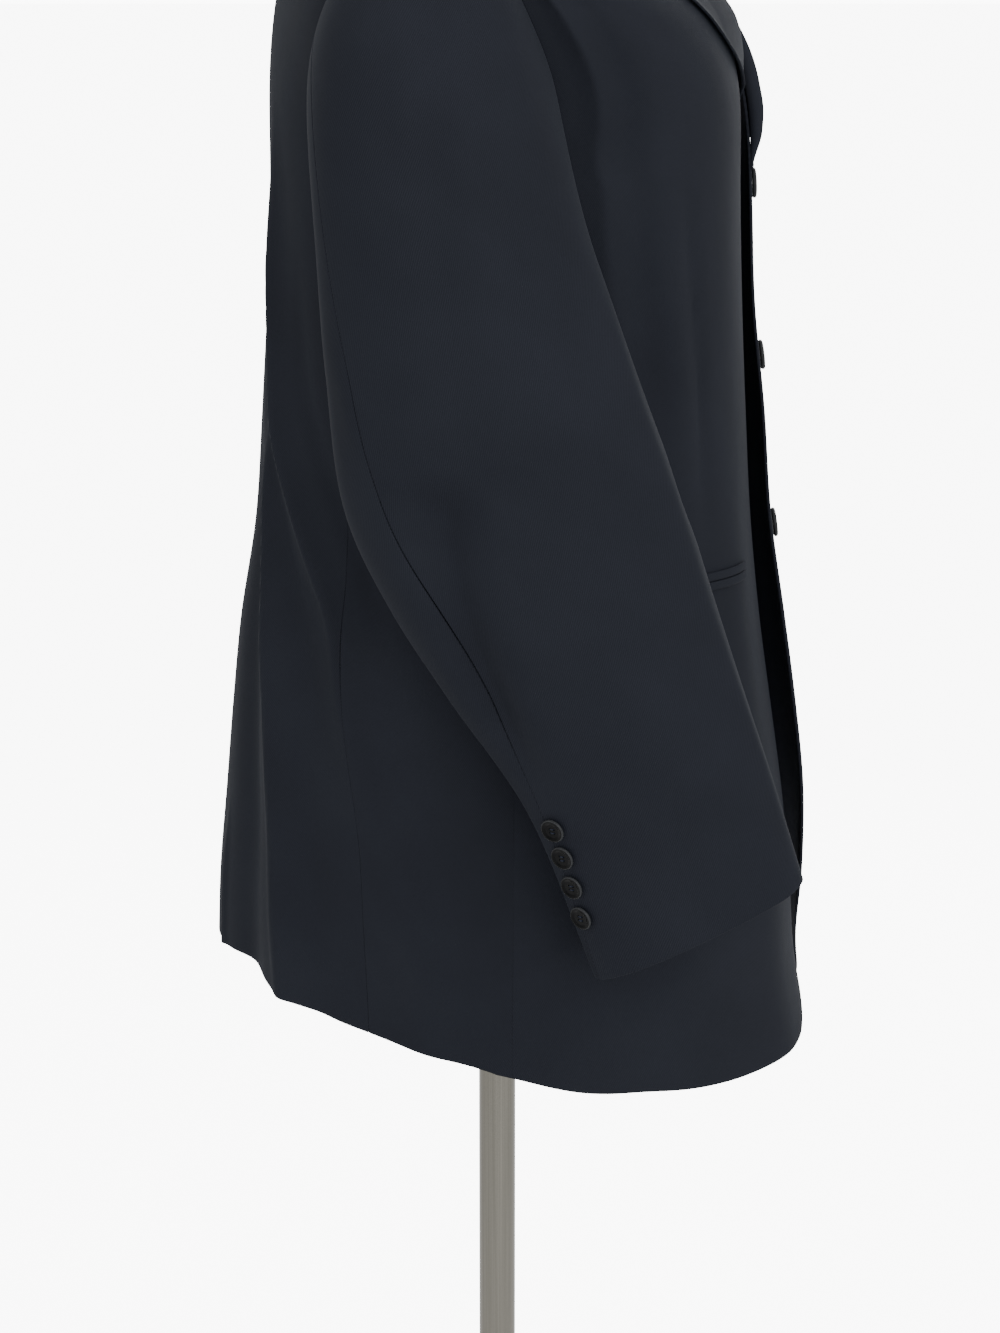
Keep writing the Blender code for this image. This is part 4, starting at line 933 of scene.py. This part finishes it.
# the rim's paler colour is a painted highlight, not the horn's own colour
put(horn_shader, Base_Color=horn_mix(painted_rim_highlight, sewn_horn, (0.026, 0.027, 0.029, 1)),
    Roughness=ranged(horn_tree, streaks, 0.2, 0.3), Specular_IOR_Level=0.08,
    Normal=bumped(horn_tree, streaks, 0.05, 0.0002))


def ring_faces(levels, around):
    """Quads between closed rings that run anticlockwise, lowest first, and a fan at each
    end round one more point: the low one, then the high one."""
    index = np.arange(levels * around).reshape(levels, around)
    after = np.roll(index, -1, axis=1)
    quads = np.stack([index[:-1], after[:-1], after[1:], index[1:]], -1).reshape(-1, 4).tolist()
    low = levels * around
    quads += [(low, b, a) for a, b in zip(index[0], after[0])]
    return quads + [(low + 1, a, b) for a, b in zip(index[-1], after[-1])]


def button(name, centre, normal, radius):
    """A turned profile on a polar grid. Each hole sinks by an eased step of its distance
    from the hole's middle, and each bar of thread rises over two holes."""
    angle = np.linspace(0, 2 * np.pi, 64, endpoint=False)
    r, height = BUTTON_PROFILE[:, :1], BUTTON_PROFILE[:, 1:]
    x, y = r * np.cos(angle), r * np.sin(angle)
    on_face = np.arange(len(r))[:, None] > 11
    off_bar = np.abs(np.abs(y) - HOLE_PLACE)
    hole = ease((HOLE_SIZE + 0.02 - np.hypot(np.abs(x) - HOLE_PLACE, off_bar)) / 0.04)
    bar = ease((THREAD_WIDTH + 0.015 - off_bar) / 0.03)
    bar = bar * ease((HOLE_PLACE + 0.03 - np.abs(x)) / 0.05)
    h = height + on_face * (0.045 * bar - 0.13 * hole * (1 - bar))
    across = unit(np.cross((0, 0, 1), normal))
    upward = np.cross(normal, across)
    grid = x[..., None] * across + y[..., None] * upward + h[..., None] * normal
    ends = np.array([0 * normal, BUTTON_PROFILE[-1, 1] * normal])
    points = centre + radius * np.concatenate([grid.reshape(-1, 3), ends])
    uv = np.concatenate([np.stack([x, y], -1).reshape(-1, 2), np.zeros((2, 2))])
    place_piece(f"{name}_horn", points, ring_faces(*x.shape), horn, "horn", [name], uv)


def spot(surface, s, v, side, turn):
    """A point of a cloth surface and its outward normal, mirrored to its side."""
    s, v = np.array([[s]]), np.array([[v]])
    mirror = np.array([side, 1, 1])
    return (surface(s, v)[0, 0] * mirror,
            normals_of(surface, s, v, (-1, 2, -1, 3), turn)[0, 0] * mirror)


for number, z in enumerate(BUTTON_HEIGHTS, 1):
    start = angle_of_x(-OVERLAP, z)
    point, normal = spot(front_surface(1), -start / (T_SIDE - start),
                         (z - HEM_FRONT) / (YOKE_FRONT - HEM_FRONT), 1, 1)
    button(f"front_button_{number}", point + FRONT_LIFT * normal, normal, FRONT_BUTTON)
for side, word in SIDES:
    for number in range(4):
        v = CAP + (1 - CAP) * (CUFF_DOWN + CUFF_STEP * number)
        psi = CUFF_PSI + CUFF_TURN * number
        seam = smooth_table(HIND_SEAM, 1, v)
        point, normal = spot(sleeve_surface(0), (psi - FORE_SEAM) / (seam - FORE_SEAM), v, side, -1)
        button(f"{word}_cuff_button_{number + 1}", point + CUFF_LIFT * normal, normal, CUFF_BUTTON)


# ---- dress form ----
# A limbless papier-mache torso with a smooth linen cover, which carries the jacket at chest
# and shoulders, and a turned wooden cap on its neck.
FORM = np.array([
    # z, half width, front y, back y
    (.85, .148, -.15, .146), (.9, .152, -.152, .148), (.98, .15, -.144, .142),
    (1.07, .144, -.134, .13), (1.16, .146, -.134, .124), (1.25, .158, -.138, .126),
    (1.33, .166, -.136, .127), (1.39, .172, -.118, .124), (1.43, .172, -.086, .114),
    (1.46, .162, -.058, .104), (1.485, .136, -.036, .094), (1.505, .092, -.028, .083),
    (1.525, .062, -.026, .076), (1.55, .053, -.027, .073), (1.6, .052, -.028, .072)])
FORM_AROUND = 128


def form_ring(z, swell=1):
    """A level superellipse of power 2.2, as a ring of points, swollen about its middle."""
    t = np.arange(FORM_AROUND) * 360 / FORM_AROUND
    half_width, front, back = (smooth_table(FORM, column, z) for column in (1, 2, 3))
    x = half_width * powered(sine(t), 2 / 2.2)
    y = -(back - front) / 2 * powered(cosine(t), 2 / 2.2)
    return stack(swell * x, (front + back) / 2 + swell * y, z)


def surface_finish(name, colours, scale, roughness, metallic=0, bump=0.0003, weave=None):
    """A finish on Object coordinates: a noise between two colours and two roughnesses, with
    the same noise, or the sum of two crossed waves for a weave, as its relief."""
    made, tree, shader = new_material(name)
    place = add(tree, "TexCoord").outputs["Object"]
    stretch = add(tree, "Mapping", Vector=place, Scale=scale)
    noise = add(tree, "TexNoise", Vector=stretch.outputs["Vector"], Scale=1,
                Detail=5).outputs["Fac"]
    relief = noise
    if weave:
        crossed = []
        for direction in ("X", "Z"):
            wave = add(tree, "TexWave", Vector=place, Scale=wave_scale(weave), Distortion=0.8)
            wave.bands_direction = direction
            crossed.append(wave.outputs["Fac"])
        relief = calculated(tree, "ADD", *crossed)
    put(shader, Base_Color=coloured(tree, noise, (0.3, colours[0]), (0.7, colours[1])),
        Roughness=ranged(tree, noise, *roughness), Metallic=metallic,
        Normal=bumped(tree, relief, 0.3, bump))
    return made


linen = surface_finish("form_linen", ((0.55, 0.49, 0.4), (0.66, 0.6, 0.5)), (60, 60, 9),
                       (0.8, 0.92), weave=0.0012)
turned_wood = surface_finish("turned_wood", ((0.22, 0.115, 0.05), (0.36, 0.205, 0.1)),
                             (220, 30, 30), (0.32, 0.46), bump=0.0002)


def stacked_rings(name, rings, material, slot, node):
    """A closed solid through level rings of points, lowest first."""
    points = np.concatenate([rings.reshape(-1, 3), rings[[0, -1]].mean(axis=1)])
    place_piece(name, points, ring_faces(*rings.shape[:2]), material, slot, [node])


torso_rings = [(.8502, .955), (.8508, .97), (.853, .984), (.857, .994), (.863, .999)]
torso_rings += [(z, 1) for z in np.linspace(0.87, 1.594, 120)]
stacked_rings("form_torso_cover", np.array([form_ring(z, swell) for z, swell in torso_rings]),
              linen, "form_cover", "form_torso")
cap_curve = np.array([(0, 1, -.0055), (.12, 1.022, -.0045), (.25, 1.036, -.0015),
                      (.38, 1.036, .003), (.5, 1.015, .008), (.62, .96, .0135),
                      (.74, .86, .018), (.86, .66, .022), (1, .3, .0248)])
cap_rings = [form_ring(1.6, smooth_table(cap_curve, 1, u))
             + (0, 0, smooth_table(cap_curve, 2, u)) for u in np.linspace(0, 1, 40)]
stacked_rings("form_neck_turned_cap", np.array(cap_rings), turned_wood, "form_wood",
              "form_neck_cap")


# ---- stand ----
# A polished steel tube on a turned hub, which is screwed to a round, slightly domed steel
# base that lies flat on the floor.
POLE_RADIUS, POLE_TOP, BASE_RADIUS = 0.013, 0.8497, 0.18
BASE_TOP, HUB_HIGH = 0.0163, 0.062

pole_steel = surface_finish("pole_steel", ((0.155, 0.148, 0.128), (0.2, 0.19, 0.165)),
                            (900, 900, 6), (0.16, 0.26), 1, 0.00004)
base_steel = surface_finish("base_steel", ((0.36, 0.35, 0.33), (0.46, 0.45, 0.42)),
                            (300, 300, 300), (0.24, 0.36), 1, 0.00006)


def turned(name, profile, around, material, slot, node):
    """A solid turned about Z through (radius, height) pairs, lowest first."""
    t = np.arange(around) * 360 / around
    rings = [stack(r * cosine(t), r * sine(t), h) for r, h in profile]
    stacked_rings(name, np.array(rings), material, slot, node)


base_edge = [(BASE_RADIUS - 0.002 + 0.002 * sine(a), 0.002 - 0.002 * cosine(a))
             for a in range(0, 91, 15)]
base_edge += [(BASE_RADIUS - 0.004 * (1 - cosine(a)), 0.008 + 0.004 * sine(a))
              for a in range(0, 91, 10)]
base_edge += [(r, 0.012 + 0.004 * (1 - (r - 0.032) / (BASE_RADIUS - 0.036)))
              for r in (0.168, 0.15, 0.12, 0.09, 0.06, 0.036, 0.032)]
turned("stand_base_plate", base_edge, 160, base_steel, "base_steel", "stand_base")
hub_profile = [(.0285, 0), (.0297, .0012), (.03, .003), (.03, .0275), (.0295, .0295),
               (.0282, .032), (.0262, .036), (.0244, .0395), (.0226, .044),
               (.0206, .051), (.019, .0575), (.0184, .06), (.0176, .0614),
               (.016, HUB_HIGH), (.014, HUB_HIGH)]
turned("stand_turned_hub", [(r, h + BASE_TOP) for r, h in hub_profile], 96, pole_steel,
       "pole_steel", "stand_hub")
pole_low = BASE_TOP + HUB_HIGH + 0.0003
pole = [(POLE_RADIUS, z) for z in (pole_low + 0.0006, *np.linspace(0.09, 0.84, 24), POLE_TOP)]
turned("stand_polished_pole", [(POLE_RADIUS - 0.0006, pole_low), *pole], 96, pole_steel,
       "pole_steel", "stand_pole")
